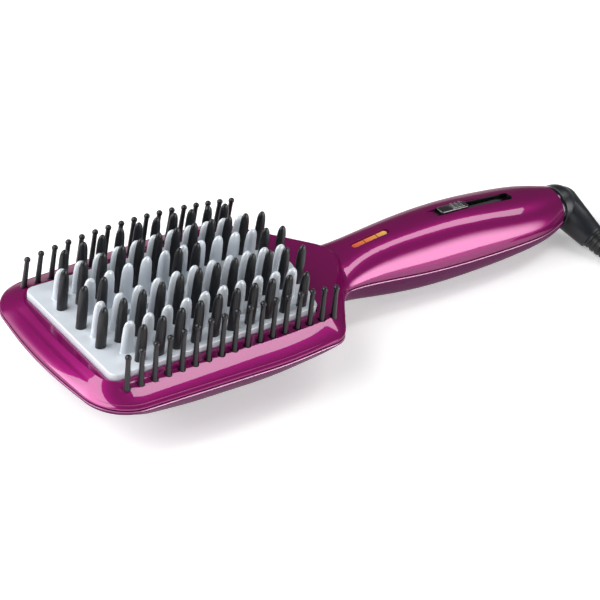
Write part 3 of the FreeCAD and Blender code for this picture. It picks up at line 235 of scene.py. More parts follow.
def roundedLoop(corners, steps, fitShare=0.45):
    # closed loop of points round corners given as (place, radius); no radius is as large as fits
    points = []
    for i, (here, radius) in enumerate(corners):
        before = corners[i - 1][0] - here
        after = corners[(i + 1) % len(corners)][0] - here
        half = before.angle(after) / 2
        if radius is None:
            radius = fitShare * min(before.length, after.length) * math.tan(half)
        start = before.normalized() * radius / math.tan(half)
        end = after.normalized() * radius / math.tan(half)
        middle = (start + end).normalized() * radius / math.sin(half)
        firstArm = start - middle
        lastArm = end - middle
        turn = math.atan2(firstArm.x * lastArm.y - firstArm.y * lastArm.x, firstArm.dot(lastArm))
        for k in range(steps + 1):
            points.append(here + middle + Matrix.Rotation(turn * k / steps, 2) @ firstArm)
    return points


def sidedCorners(shares, reaches, grow=0.0):
    # corners of one side, in shares of the reaches to free end, neck and side, and their mirror image
    freeReach, neckReach, halfWidth = reaches
    half = []
    for xShare, yShare, radiusShare in shares:
        reach = freeReach if xShare < 0 else neckReach
        radius = None if radiusShare is None else radiusShare * halfWidth + grow
        half.append((Vector((xShare * (reach + grow), -yShare * (halfWidth + grow))), radius))
    return half + [(Vector((p.x, -p.y)), r) for p, r in reversed(half) if p.y < 0]


def flatBlock(bm, points, low, high):
    # a prism on a loop of points in plan
    start = len(bm.verts)
    verts = [bm.verts.new((p.x, p.y, low)) for p in points]
    face = bm.faces.new(verts)
    grown = bmesh.ops.extrude_face_region(bm, geom=[face])["geom"]
    bmesh.ops.translate(bm, vec=(0, 0, high - low),
                        verts=[g for g in grown if isinstance(g, bmesh.types.BMVert)])
    bm.verts.ensure_lookup_table()
    return bm.verts[start:]


def loopStack(bm, rings, closed=False):
    # rings of equal count joined in turn, capped or closed on themselves
    made = []
    for ring in rings:
        verts = [bm.verts.new(point) for point in ring]
        made.append([bm.edges.new((verts[i - 1], verts[i])) for i in range(len(verts))])
        if not closed and len(made) in (1, len(rings)):
            bm.faces.new(verts)
    for near, far in zip(made, made[1:] + made[:1] if closed else made[1:]):
        bmesh.ops.bridge_loops(bm, edges=near + far)


def boxLoop(left, right, low, high, radius, steps):
    return roundedLoop([(Vector(place), radius) for place in (
        (left, low), (right, low), (right, high), (left, high))], steps)


def stadium(start, end, width, steps, roundShare=0.96):
    # a slot's outline, round at both ends
    half = width / 2
    return boxLoop(start, end, -half, half, half * roundShare, steps)


def edgesFrom(bm, height):
    # the edges at a height and over it
    return [e for e in bm.edges if min(v.co.z for v in e.verts) > height - 1e-4]


def softenEdges(bm, edges, width, segments):
    bmesh.ops.bevel(bm, geom=edges, offset=width, offset_type="OFFSET", affect="EDGES", segments=segments,
                    profile=0.5, material=-1, clamp_overlap=True)


# Cord: the lead leaves the strain relief and runs to the coil, put away out of view

cordSet = {
    "diameter": 6.0,
    "reliefEnd": (219.33, -35.06, 3.7),
    "leadCorner": (220.33, -40.97, 3.7),
    "coilStart": (220.33, -50.97, 3.7),
    "coilMiddle": (268.89, -50.97),
    "turns": 7.5,
    "step": 6.7,
    "leastRadius": 24.275,
    "climb": (3.5, 4.0),
    "lowLayer": 3.7,
    "pointsPerTurn": 16,
    "leadShare": 2,
    "tail": ((317.45, -36.97, 10.4), (312.45, -22.97, 6.8), (312.45, -8.97, 6.8)),
    "sides": 12,
    "sharp": 50,
    "leadSteps": 40,
    "coilSteps": 6,
}


def cordCurve(name, points, steps):
    curve = bpy.data.curves.new(name, "CURVE")
    curve.dimensions = "3D"
    spline = curve.splines.new("NURBS")
    spline.points.add(len(points) - 1)
    for place, point in zip(spline.points, points):
        place.co = (point[0] * mm, point[1] * mm, point[2] * mm, 1)
    spline.order_u = 3
    spline.use_endpoint_u = True
    spline.resolution_u = steps
    return curve


def curveMesh(curve, name):
    holder = addObject(name, curve)
    bpy.context.view_layer.update()
    mesh = bpy.data.meshes.new_from_object(holder.evaluated_get(bpy.context.evaluated_depsgraph_get()))
    bpy.data.objects.remove(holder)
    return mesh


def cordTube(name, points, steps):
    # the line is read from the route's own spline, and the tube is the same spline with a bevel
    curve = cordCurve(name, points, steps)
    line = [v.co.copy() for v in curveMesh(curve, name).vertices]
    curve.bevel_depth = cordSet["diameter"] / 2 * mm
    curve.bevel_resolution = cordSet["sides"] // 4
    curve.use_fill_caps = True
    piece = addObject(name, curveMesh(curve, name))
    dress(piece, cordPvc, cordSet["sharp"])
    return piece, line


def lineLength(line):
    return sum((b - a).length for a, b in zip(line, line[1:]))


def coilPoint(turn):
    # the cord winds in on the lower layer, climbs, and winds out again on the upper one
    low, high = cordSet["climb"]
    climbed = min(max(turn, low), high)
    rounded = 2 * (climbed - (low + high) / 2) ** 2
    radius = cordSet["leastRadius"] + cordSet["step"] * (rounded + abs(turn - climbed))
    share = (climbed - low) / (high - low)
    height = cordSet["lowLayer"] + cordSet["step"] * share * share * (3 - 2 * share)
    radius /= math.cos(math.pi / cordSet["pointsPerTurn"])
    angle = math.pi + math.tau * turn
    middle = cordSet["coilMiddle"]
    return (middle[0] + radius * math.cos(angle), middle[1] + radius * math.sin(angle), height)


coilPlaces = [coilPoint((i + 0.5) / cordSet["pointsPerTurn"])
              for i in range(round(cordSet["turns"] * cordSet["pointsPerTurn"]))]
# the lead takes in the coil's first points, so that its free run is long enough to bend
taken = cordSet["leadShare"]
joinPlace = [(a + b) / 2 for a, b in zip(coilPlaces[taken - 1], coilPlaces[taken])]
# it has more rings than the coil, because it bends when the elbow turns
leadPoints = [cordSet["reliefEnd"], cordSet["leadCorner"]] + coilPlaces[:taken] + [joinPlace]
leadCord, leadLine = cordTube("cordLead", leadPoints, cordSet["leadSteps"])
coilPoints = [joinPlace] + coilPlaces[taken:] + list(cordSet["tail"])
coilCord, coilLine = cordTube("cordCoil", coilPoints, cordSet["coilSteps"])
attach(coilCord, "brush")
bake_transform(leadCord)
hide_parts("cord_lead")
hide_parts("cord_coil", "cord_tail")

# Cord tie: a woven strap closed round the coil's far side
tieSet = {"thickness": 0.6, "corner": 2.6, "cornerSteps": 5}
tieLow, tieHigh = (Vector(v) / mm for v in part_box("cord_tie"))
thick = tieSet["thickness"]
tieRings = []
for x, inset in ((tieLow.x, 0), (tieHigh.x, 0), (tieHigh.x, thick), (tieLow.x, thick)):
    loop = boxLoop(tieLow.y + inset, tieHigh.y - inset, tieLow.z + inset, tieHigh.z - inset,
                   tieSet["corner"] - inset, tieSet["cornerSteps"])
    tieRings.append([(x, p.x, p.y) for p in loop])
bm = bmesh.new()
loopStack(bm, tieRings, closed=True)
cordTie = finishPiece("cordTie", bm, strapNylon)
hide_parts("cord_tie")

# Plug: a flat two-pin body that narrows to the cord, and round pins
plugSet = {
    "axis": (312.45, 6.8), "start": -8.97, "end": 25.03, "height": 13.6,
    "backHalf": 7.0, "half": 17.5, "flareShare": 0.4, "corner": 2.5, "cornerSteps": 5,
    "edge": 1.6, "edgeSteps": 4,
    "pinRadius": 2.0, "pinReach": 9.3, "pinEnd": 44.03, "pinSides": 20,
    # the pin's tip: share of the radius, and how far before the end
    "pinTip": ((1.0, 1.2), (0.8, 0.3), (0.45, 0.0)),
}
bm = bmesh.new()
flareY = plugSet["start"] + (plugSet["end"] - plugSet["start"]) * plugSet["flareShare"]
plugCorners = [(Vector((plugSet["axis"][0] + x, y)), plugSet["corner"]) for x, y in (
    (-plugSet["backHalf"], plugSet["start"]), (plugSet["backHalf"], plugSet["start"]),
    (plugSet["half"], flareY), (plugSet["half"], plugSet["end"]),
    (-plugSet["half"], plugSet["end"]), (-plugSet["half"], flareY))]
flatBlock(bm, roundedLoop(plugCorners, plugSet["cornerSteps"]), 0, plugSet["height"])
level = [e for e in bm.edges if abs(e.verts[0].co.z - e.verts[1].co.z) < 1e-4]
softenEdges(bm, level, plugSet["edge"], plugSet["edgeSteps"])
plugBody = finishPiece("plugBody", bm, cordPvc)
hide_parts("plug_body")
bm = bmesh.new()
radius = plugSet["pinRadius"]
pinRun = plugSet["pinEnd"] - plugSet["end"]
pinTip = [(radius * share, pinRun - back) for share, back in plugSet["pinTip"]]
pinMesh = spunMesh([(0, 0), (radius, 0)] + pinTip + [(0, pinRun)], plugSet["pinSides"])
for side in (-1, 1):
    place = Vector((plugSet["axis"][0] + side * plugSet["pinReach"], plugSet["end"], plugSet["axis"][1]))
    stamp(bm, pinMesh, Matrix.Translation(place) @ Matrix.Rotation(-math.pi / 2, 4, "X"))
plugPins = finishPiece("plugPins", bm, pinBrass)
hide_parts("plug_pins")

print("cord made, metres:", round(lineLength(leadLine) + lineLength(coilLine), 3))


# Shells: rows run from the plan outline in to the spine, and the height comes from the head and handle

shellSet = {
    "seamHeight": 23.7, "landHeight": 29.5, "headDepth": 24.7, "wall": 2.0, "seamGap": 0.3, "sharp": 32,
    # plan outlines: the reach to the free end, to the neck and to each side, and corners in shares of these
    "seamReach": (65, 80.5, 46.9),
    "seamShares": ((-1, 0, None), (-0.92, 0.925, 0.40), (0.273, 1, None), (0.604, 0.951, 0.277),
                   (1, 0, 0.26)),
    "landReach": (56, 79.7, 37.5),
    "landShares": ((-1, 0, None), (-0.955, 0.88, 0.28), (0.251, 1, None), (0.583, 0.976, 0.24),
                   (1, 0, 0.33)),
    "cornerSteps": 24,
    # the roll falls evenly from a crisp crease, then turns down to the seam, and on steeply outside it
    "rollShare": 0.70, "rollPower": 3.0, "outerSlope": 3, "landRows": 10, "rollRows": 24, "rollTurn": 0.12,
    "crease": 0.15,
    # the rear rim stands a little outside the front one, and both are rounded; faces within this height of
    # the seam carry a painted highlight in a paler lacquer
    "lip": 0.4, "rimDrop": 0.75, "highlightRise": 0.42,
    "rimRows": ((0.0, 0.45), (0.06, 0.25), (0.2, 0.08), (0.45, 0.0)),
    # where the handle's curves fade out inside the head: depth, start and end
    "frontFade": (6, 46, 62), "rearFade": (26, 44, 64),
    # fillets of the neck: on the land, further out, and the way between them, and at the back
    "neckFillet": (2.4, 6.6, 4), "rearFillet": 5.0,
    # power of the belly's curve under the free end, what the long sides add, and where they begin and end
    "belly": (2.0, 1.0, -0.2, 0.6),
    # handle stations: x, half width, top, parting line, bottom
    "stations": ((50, 33, 27.6, 22.6, 9.5), (58, 26.5, 27, 21.6, 9.8), (64, 21.3, 26.6, 20.8, 9.4),
                 (70, 17.2, 26.4, 20, 8.5), (79, 14.8, 27.3, 19.1, 6.6), (91, 14.6, 29.4, 18, 4.1),
                 (115, 16.7, 31.8, 16.5, 0.9), (144, 18.1, 32.1, 15.6, 0.4), (172.5, 17.8, 29.3, 14.9, 1.8),
                 (195, 14.6, 26.2, 14.1, 3.6), (204.5, 11, 24.4, 13.7, 3.9)),
    # the seam between the halves: x and height, level round the head
    "seamLine": ((20, 23.7), (35, 23.7), (47, 23.0), (58, 21.6), (70, 20), (79, 19.1), (91, 18), (115, 16.5),
                 (144, 15.6), (172.5, 14.9), (195, 14.1), (204.5, 13.7)),
}


def splineThrough(xs, ys):
    # natural cubic spline, so the handle's reflections run without a kink
    xs = np.array(xs, float)
    ys = np.array(ys, float)
    run = np.diff(xs)
    count = len(xs)
    left = np.eye(count)
    right = np.zeros(count)
    for i in range(1, count - 1):
        left[i, i - 1:i + 2] = run[i - 1], 2 * (run[i - 1] + run[i]), run[i]
        right[i] = 6 * ((ys[i + 1] - ys[i]) / run[i] - (ys[i] - ys[i - 1]) / run[i - 1])
    bend = np.linalg.solve(left, right)

    def at(x):
        x = np.clip(x, xs[0], xs[-1])
        i = np.clip(np.searchsorted(xs, x) - 1, 0, count - 2)
        a = (xs[i + 1] - x) / run[i]
        b = (x - xs[i]) / run[i]
        return (a * ys[i] + b * ys[i + 1]
                + ((a ** 3 - a) * bend[i] + (b ** 3 - b) * bend[i + 1]) * run[i] ** 2 / 6)
    return at


def softMax(a, b, reach):
    near = np.maximum(reach - np.abs(a - b), 0) / reach
    return np.maximum(a, b) + near * near * reach / 4


def softMin(a, b, reach):
    return -softMax(-a, -b, reach)


def smoothStep(x, start, end):
    share = np.clip((x - start) / (end - start), 0, 1)
    return share * share * (3 - 2 * share)


def headLoop(kind):
    corners = sidedCorners(shellSet[kind + "Shares"], shellSet[kind + "Reach"])
    return np.array([tuple(p) for p in roundedLoop(corners, shellSet["cornerSteps"])])


seamLoop = headLoop("seam")
landLoop = headLoop("land")
stationColumns = list(zip(*shellSet["stations"]))
handleHalf, handleTop, handleParting, handleBottom = (
    splineThrough(stationColumns[0], column) for column in stationColumns[1:])
partingLine = splineThrough(*zip(*shellSet["seamLine"]))


def distanceTo(loop, x, y):
    least = np.full(x.shape, 1e9)
    for (ax, ay), (bx, by) in zip(loop, np.roll(loop, -1, axis=0)):
        dx, dy = bx - ax, by - ay
        square = dx * dx + dy * dy
        if square < 1e-9:
            continue
        share = np.clip(((x - ax) * dx + (y - ay) * dy) / square, 0, 1)
        least = np.minimum(least, np.hypot(x - ax - share * dx, y - ay - share * dy))
    return least


def gauge(loop, x, y):
    # 0 at the origin and 1 on the loop, which bulges everywhere
    most = np.zeros(x.shape)
    for (ax, ay), (bx, by) in zip(loop, np.roll(loop, -1, axis=0)):
        reach = (by - ay) * ax - (bx - ax) * ay
        if abs(reach) > 1e-6:
            most = np.maximum(most, ((by - ay) * x - (bx - ax) * y) / reach)
    return most


def pastLand(x, y):
    return np.where(gauge(landLoop, x, y) > 1, distanceTo(landLoop, x, y), 0)


def headTop(x, y):
    overSeam = gauge(seamLoop, x, y) > 1
    fromLand = pastLand(x, y)
    fromSeam = distanceTo(seamLoop, x, y)
    share = np.where(overSeam, 1, fromLand / np.maximum(fromLand + fromSeam, 1e-6))
    power = shellSet["rollPower"]
    turn = 1 - np.maximum(1 - share ** power, 0) ** (1 / power)
    fall = shellSet["rollShare"] * share + (1 - shellSet["rollShare"]) * turn
    drop = shellSet["landHeight"] - shellSet["seamHeight"]
    return shellSet["landHeight"] - drop * fall - np.where(overSeam, shellSet["outerSlope"] * fromSeam, 0)


def handleCurve(x, y, crown):
    side = np.clip(np.abs(y) / handleHalf(x), 0, 1)
    return handleParting(x) + (crown(x) - handleParting(x)) * np.sqrt(1 - side ** 2)


def handleFade(x, fade):
    depth, start, end = fade
    return depth * (1 - smoothStep(x, start, end))


def frontHeight(x, y):
    # the handle's curve fades out under the land
    handle = handleCurve(x, y, handleTop) - handleFade(x, shellSet["frontFade"])
    # past the land's edge the neck is drawn into the head with a wide fillet
    least, more, way = shellSet["neckFillet"]
    fillet = least + more * smoothStep(pastLand(x, y), 0, way)
    return np.maximum(softMax(headTop(x, y), handle, fillet), partingLine(x))


def rearHeight(x, y):
    top = partingLine(x) - shellSet["rimDrop"]
    bottom = shellSet["seamHeight"] - shellSet["headDepth"]
    # the belly is fuller under the long sides than under the free end
    freeReach = shellSet["seamReach"][0]
    halfWidth = shellSet["seamReach"][2]
    least, more, start, end = shellSet["belly"]
    fullness = least + more * smoothStep(np.abs(y) / halfWidth - np.maximum(-x, 0) / freeReach, start, end)
    dome = top - (top - bottom) * (1 - gauge(seamLoop, x, y) ** fullness)
    handle = handleCurve(x, y, handleBottom) + handleFade(x, shellSet["rearFade"])
    return np.clip(softMin(dome, handle, shellSet["rearFillet"]), 0, partingLine(x))


outlineSet = {
    # columns along the outline: even steps round the free end, runs of x with their steps, and the handle
    "freeEnd": -40.0, "freeColumns": 44,
    "sideRuns": ((-37.5, 40, 2.5), (40, 64, 1.2), (64, 84, 0.7), (84, 96, 1.5)),
    "handleRun": (96, 204.5, 46),
    # where the handle's width takes over from the head's, and the fillets before and after
    "neck": (46, 60), "neckFillet": 9.0, "leastFillet": 0.1,
    "spineStart": -30.0,
    # past the neck the land's edge gives way to a line at this share of the handle's width
    "handleShare": 0.55, "handleStart": (80, 100), "halvings": 24,
}
sidePoints = seamLoop[seamLoop[:, 1] >= -1e-6]
sidePoints = sidePoints[np.argsort(sidePoints[:, 0] + 1e-4 * sidePoints[:, 1])]
freeX = outlineSet["freeEnd"]
freeEnd = sidePoints[sidePoints[:, 0] < freeX]
freeEnd = np.vstack([[freeEnd[0, 0], 0.0], freeEnd[freeEnd[:, 1] > 0.05],
                     [freeX, np.interp(freeX, sidePoints[:, 0], sidePoints[:, 1])]])
freeRun = np.concatenate([[0], np.cumsum(np.hypot(*np.diff(freeEnd, axis=0).T))])
freeSteps = np.linspace(0, freeRun[-1], outlineSet["freeColumns"])
sideX = np.concatenate([np.arange(*run) for run in outlineSet["sideRuns"]]
                       + [np.linspace(*outlineSet["handleRun"])])
headHalf = np.interp(sideX, sidePoints[:, 0], sidePoints[:, 1], right=0)
neckFillet = outlineSet["neckFillet"] * smoothStep(sideX, *outlineSet["neck"]) + outlineSet["leastFillet"]
sideY = np.where(sideX < outlineSet["neck"][0], headHalf, softMax(headHalf, handleHalf(sideX), neckFillet))
outlineX = np.concatenate([np.interp(freeSteps, freeRun, freeEnd[:, 0]), sideX])
outlineY = np.concatenate([np.interp(freeSteps, freeRun, freeEnd[:, 1]), sideY])
spineX = np.maximum(outlineX, outlineSet["spineStart"])
outlineReach = np.hypot(outlineX - spineX, outlineY)
# where each row from the spine out to the outline crosses the land's edge
low = np.zeros(outlineX.shape)
high = np.ones(outlineX.shape)
for step in range(outlineSet["halvings"]):
    middle = (low + high) / 2
    inside = gauge(landLoop, spineX + (outlineX - spineX) * middle, outlineY * middle) < 1
    low = np.where(inside, middle, low)
    high = np.where(inside, high, middle)
creaseShare = np.maximum(low, outlineSet["handleShare"] * smoothStep(outlineX, *outlineSet["handleStart"]))


def shellPiece(name, heightAt, outward, inset):
    # rows from the spine to the crease, on to the rim, and round it
    fine = shellSet["crease"] / outlineReach
    last = 1 - inset / outlineReach
    shares = [np.maximum(creaseShare - fine, 0) * share for share in np.linspace(0, 1, shellSet["landRows"])]
    shares += [creaseShare, creaseShare + fine]
    shares += [creaseShare + (last - creaseShare) * math.sin(turn) for turn in np.linspace(
        shellSet["rollTurn"], math.pi / 2, shellSet["rollRows"])]
    shares = [np.minimum(share, last) for share in shares]
    heights = [heightAt(spineX + (outlineX - spineX) * share, outlineY * share) for share in shares]
    rim = partingLine(outlineX) + outward * shellSet["seamGap"] / 2
    keepOff = np.maximum if outward > 0 else np.minimum
    heights = [keepOff(height, partingLine(outlineX) + outward * shellSet["rimDrop"]) for height in heights]
    for inward, rise in shellSet["rimRows"]:
        shares.append(last - inward / outlineReach)
        heights.append(rim + outward * rise)
    bm = bmesh.new()
    columns = len(outlineX) - 1
    rows = len(shares) - 1
    bmesh.ops.create_grid(bm, x_segments=columns, y_segments=rows, size=0.5)
    for vert in bm.verts:
        i = round((vert.co.x + 0.5) * columns)
        j = round((vert.co.y + 0.5) * rows)
        share = shares[j][i]
        vert.co = (spineX[i] + (outlineX[i] - spineX[i]) * share, outlineY[i] * share, heights[j][i])
    bmesh.ops.mirror(bm, geom=bm.verts[:] + bm.edges[:] + bm.faces[:], axis="Y", merge_dist=1e-3)
    bmesh.ops.remove_doubles(bm, verts=bm.verts, dist=1e-3)
    bmesh.ops.dissolve_degenerate(bm, edges=bm.edges[:], dist=1e-4)
    piece = finishPiece(name, bm, shellLacquer)
    if sum(face.normal.z * face.area for face in piece.data.polygons) * outward < 0:
        piece.data.flip_normals()
    wall = piece.modifiers.new("wall", "SOLIDIFY")
    wall.thickness = shellSet["wall"] * mm
    wall.offset = -1
    return piece


def combine(piece, others, operation):
    # cuts other bodies out of a piece, or joins them to it
    holders = []
    for bm in others:
        bmesh.ops.recalc_face_normals(bm, faces=bm.faces)
        bmesh.ops.scale(bm, vec=(mm, mm, mm), verts=bm.verts)
        holders.append(addObject("other", meshFrom(bm, "other")))
        step = piece.modifiers.new("combine", "BOOLEAN")
        step.object = holders[-1]
        step.operation = operation
        step.solver = "EXACT"
    bakeModifiers(piece)
    for holder in holders:
        bpy.data.objects.remove(holder)


def bakeModifiers(piece):
    bpy.context.view_layer.update()
    mesh = bpy.data.meshes.new_from_object(piece.evaluated_get(bpy.context.evaluated_depsgraph_get()))
    piece.modifiers.clear()
    piece.data = mesh


frontShell = shellPiece("frontShell", frontHeight, 1, shellSet["lip"])
rearShell = shellPiece("rearShell", rearHeight, -1, 0.0)
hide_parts("front_shell")
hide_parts("rear_shell")

# cut into the front shell: the plate's window, the pins' sockets, and the slots of light bar and switch
plateSet = {
    "reach": (51.2, 53.6, 30.7), "shares": ((-1, 1, 0.114), (0.8265, 0.99, 0.114), (1, 0, 0.39)),
    "cornerSteps": 6, "top": 31.8, "low": 25.7, "edge": 0.4, "edgeSteps": 3, "sharp": 40,
    # the window round the plate, eased at the land: clearance and height
    "windowRows": ((0.4, 20), (0.4, 29.2), (0.7, 29.5), (0.7, 40)),
    "slotLength": 15.0, "slotWidth": 3.0, "slotPlaces": (-20.1, 21.7), "slotSteps": 6, "slotSpan": (20, 40),
}
pinSet = {
    "count": 17, "pitch": 6.0, "row": 35.5, "seat": 28.4, "root": 1.1, "stem": 0.95, "ball": 1.25,
    "sides": 14, "top": 47.4, "endDrop": 4.4, "endReach": 48, "lean": 1.2,
    # the flared foot: beyond the root's radius, and over the seat
    "foot": ((0.3, 0.02), (0.25, 0.6), (0, 1.5)), "taperEnd": 2.0, "ballAngles": (-20, 5, 30, 55, 75),
    # the socket's profile, with an eased mouth
    "socket": ((0, 28.4), (1.55, 28.4), (1.55, 29.3), (1.75, 29.5), (1.75, 33), (0, 33)), "socketSides": 20,
}
barSet = {"start": 86.5, "end": 105.9, "width": 3.2, "sink": 0.4, "thick": 3, "gap": 0.1, "endGap": 0.9,
          "edge": 0.5, "edgeSteps": 3}
switchSet = {
    "start": 132.6, "end": 177.0, "width": 5.0,
    # the scoop before the slot runs on under its first stretch
    "scoopStart": 126.0, "scoopDepth": 1.0, "scoopRun": 4,
    # the slot's collar: its width, the gap round it, and how far its top and foot lie below the surface
    "collar": 0.3, "collarGap": 0.05, "collarDrops": (0.1, 2.0),
}
trackSet = {"top": 30.4, "slope": 0.0627, "thick": 3, "gap": 0.2, "edge": 0.35, "edgeSteps": 2}
buttonSet = {
    "start": 134.0, "length": 16.0, "thick": 2.9, "width": 4.4, "corner": 1.2, "cornerSteps": 4, "gap": 0.3,
    "edge": 0.3, "edgeSteps": 3, "ribHeight": 0.8, "ribWidth": 0.8, "ribPitch": 2.4, "ribShift": 2.4,
    "ribInset": 0.2,
}
slotCut = {"low": 20, "high": 45, "steps": 8}
pinPlaces = [(i - (pinSet["count"] - 1) / 2) * pinSet["pitch"] for i in range(pinSet["count"])]


def plateOutline(grow):
    return roundedLoop(sidedCorners(plateSet["shares"], plateSet["reach"], grow), plateSet["cornerSteps"])


def switchSlot(grow):
    return stadium(switchSet["start"] - grow, switchSet["end"] + grow, switchSet["width"] + 2 * grow,
                   slotCut["steps"])


window = bmesh.new()
windowRings = [[(p.x, p.y, height) for p in plateOutline(grow)] for grow, height in plateSet["windowRows"]]
loopStack(window, windowRings)
sockets = bmesh.new()
socketMesh = spunMesh(pinSet["socket"], pinSet["socketSides"])
for side in (-1, 1):
    for x in pinPlaces:
        stamp(sockets, socketMesh, Matrix.Translation((x, side * pinSet["row"], 0)))
slots = bmesh.new()
barSlot = stadium(barSet["start"], barSet["end"], barSet["width"], slotCut["steps"])
for outline in (barSlot, switchSlot(switchSet["collar"])):
    flatBlock(slots, outline, slotCut["low"], slotCut["high"])
scoop = bmesh.new()
scoopStart = switchSet["scoopStart"]
scoopTop = float(handleTop(scoopStart))
scoopEnd = switchSet["start"] + switchSet["scoopRun"]
scoopPlan = stadium(scoopStart, scoopEnd, switchSet["width"], slotCut["steps"])
for vert in flatBlock(scoop, scoopPlan, 0, slotCut["high"]):
    if vert.co.z < slotCut["low"]:
        share = (vert.co.x - scoopStart) / (switchSet["start"] - scoopStart)
        vert.co.z = scoopTop - switchSet["scoopDepth"] * min(share, 1)
combine(frontShell, [window, sockets, slots, scoop], "DIFFERENCE")
bakeModifiers(rearShell)
# the rear shell's darker lacquer is painted shade on the underside
for shell, lacquer, outward in ((frontShell, shellLacquer, 1), (rearShell, rearShadedLacquer, -1)):
    dress(shell, lacquer, shellSet["sharp"])
    shell.data.materials.append(seamHighlightLacquer)
    # faces close to the parting line get the paler lacquer, a painted highlight along the seam
    for face in shell.data.polygons:
        rise = face.center.z / mm - partingLine(face.center.x / mm)
        if rise * outward < shellSet["highlightRise"]:
            face.material_index = 1
print("shells made", len(frontShell.data.polygons), len(rearShell.data.polygons))


# Heating plate with its fins, one casting

finSet = {
    "rows": ((-19.95, 10), (-6.65, 11), (6.65, 10), (19.95, 11)), "pitch": 8.36, "shift": -0.5,
    "length": 5.6, "width": 3.2, "high": 18.2, "sink": 0.02, "sides": 18,
    # the outer rows are lower, and each row falls towards its ends
    "outerRow": 10, "outerDrop": 2.2, "endDrop": 3.6, "endReach": 46,
    # a bullet's profile on a small foot, in shares of the half width and the height
    "profile": ((1.12, 0), (1.03, 0.02), (1.0, 0.06), (0.985, 0.3), (0.95, 0.55), (0.90, 0.72), (0.84, 0.82),
                (0.74, 0.89), (0.58, 0.945), (0.38, 0.98), (0.16, 0.997), (0, 1)),
}
bm = bmesh.new()
flatBlock(bm, plateOutline(0.0), plateSet["low"], plateSet["top"])
softenEdges(bm, edgesFrom(bm, plateSet["top"]), plateSet["edge"], plateSet["edgeSteps"])
heatingPlate = finishPiece("heatingPlate", bm, plateCoating)
ionSlots = bmesh.new()
for x in plateSet["slotPlaces"]:
    half = plateSet["slotLength"] / 2
    slotPlan = stadium(x - half, x + half, plateSet["slotWidth"], plateSet["slotSteps"])
    flatBlock(ionSlots, slotPlan, *plateSet["slotSpan"])
combine(heatingPlate, [ionSlots], "DIFFERENCE")


def stampBullet(bm, mesh, kind, x, y, high):
    # one fin or bristle on the plate, sunk into it a little
    size = Matrix.Diagonal((kind["length"] / 2, kind["width"] / 2, high, 1))
    stamp(bm, mesh, Matrix.Translation((x, y, plateSet["top"] - kind["sink"])) @ size)


finMesh = spunMesh(finSet["profile"], finSet["sides"])
bm = bmesh.new()
for y, count in finSet["rows"]:
    for k in range(count):
        x = (k - (count - 1) / 2) * finSet["pitch"] + finSet["shift"]
        outerDrop = finSet["outerDrop"] if abs(y) > finSet["outerRow"] else 0
        high = finSet["high"] - outerDrop - finSet["endDrop"] * (x / finSet["endReach"]) ** 2
        stampBullet(bm, finMesh, finSet, x, y, high)
bmesh.ops.scale(bm, vec=(mm, mm, mm), verts=bm.verts)
bm.from_mesh(heatingPlate.data)
bm.to_mesh(heatingPlate.data)
bm.free()
dress(heatingPlate, plateCoating, plateSet["sharp"])
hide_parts("heating_plate")

# Nylon bristles through the plate, one row to a node
pegSet = {
    "rowPitch": 13.3, "pitch": 8.36, "shift": 0.8, "length": 4.4, "width": 3.4, "high": 23.0, "sink": 1.0,
    "endDrop": 4.4, "endReach": 46, "sideDrop": 4.3, "sides": 16, "perRow": 12,
    # places taken in each row: the middle one leaves room for the slots
    "places": {-2: range(1, 11), -1: range(12), 0: (0, 1, 5, 6, 10, 11), 1: range(12), 2: range(1, 11)},
    "profile": ((1.0, 0), (0.985, 0.35), (0.95, 0.6), (0.88, 0.78), (0.80, 0.86), (0.68, 0.92), (0.5, 0.962),
                (0.3, 0.988), (0.12, 0.998), (0, 1)),
}
pegMesh = spunMesh(pegSet["profile"], pegSet["sides"])
outerRow = max(pegSet["places"])
for row, places in pegSet["places"].items():
    bm = bmesh.new()
    for k in places:
        x = (k - (pegSet["perRow"] - 1) / 2) * pegSet["pitch"] + pegSet["shift"]
        endDrop = pegSet["endDrop"] * (x / pegSet["endReach"]) ** 2
        high = pegSet["high"] - endDrop - pegSet["sideDrop"] * (row / outerRow) ** 2
        stampBullet(bm, pegMesh, pegSet, x, row * pegSet["rowPitch"], high + pegSet["sink"])
    number = row + outerRow + 1
    pegs = finishPiece("innerBristles%d" % number, bm, bristleNylon)
    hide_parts("inner_bristles_%d" % number)

# Ball-tipped side pins in their sockets, leaning in a little
for side, name in ((-1, "near"), (1, "far")):
    bm = bmesh.new()
    for x in pinPlaces:
        top = pinSet["top"] - pinSet["endDrop"] * (x / pinSet["endReach"]) ** 2
        seat = pinSet["seat"]
        ball = pinSet["ball"]
        neck = top - ball - math.sqrt(ball ** 2 - pinSet["stem"] ** 2)
        profile = [(pinSet["root"] + flare, seat + rise) for flare, rise in pinSet["foot"]]
        profile = [(0, profile[0][1])] + profile
        profile += [(pinSet["stem"], neck - pinSet["taperEnd"]), (pinSet["stem"], neck)]
        for angle in map(math.radians, pinSet["ballAngles"]):
            profile.append((ball * math.cos(angle), top - ball + ball * math.sin(angle)))
        profile.append((0, top))
        mesh = spunMesh(profile, pinSet["sides"])
        lean = Matrix.Shear("XY", 4, (0, -side * pinSet["lean"] / (top - seat)))
        place = Matrix.Translation((x, side * pinSet["row"], seat))
        stamp(bm, mesh, place @ lean @ Matrix.Translation((0, 0, -seat)))
    pins = finishPiece("sideBristles" + name.title(), bm, bristleNylon)
    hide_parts("side_bristles_" + name)
print("plate, fins and bristles made")


# Light bar, switch track and slide button

lensSet = {"colours": ("#c44a3a", "#d4803e", "#dcb45a"), "lineColour": "#5a2016", "windows": 3.0,
           "line": 0.06}


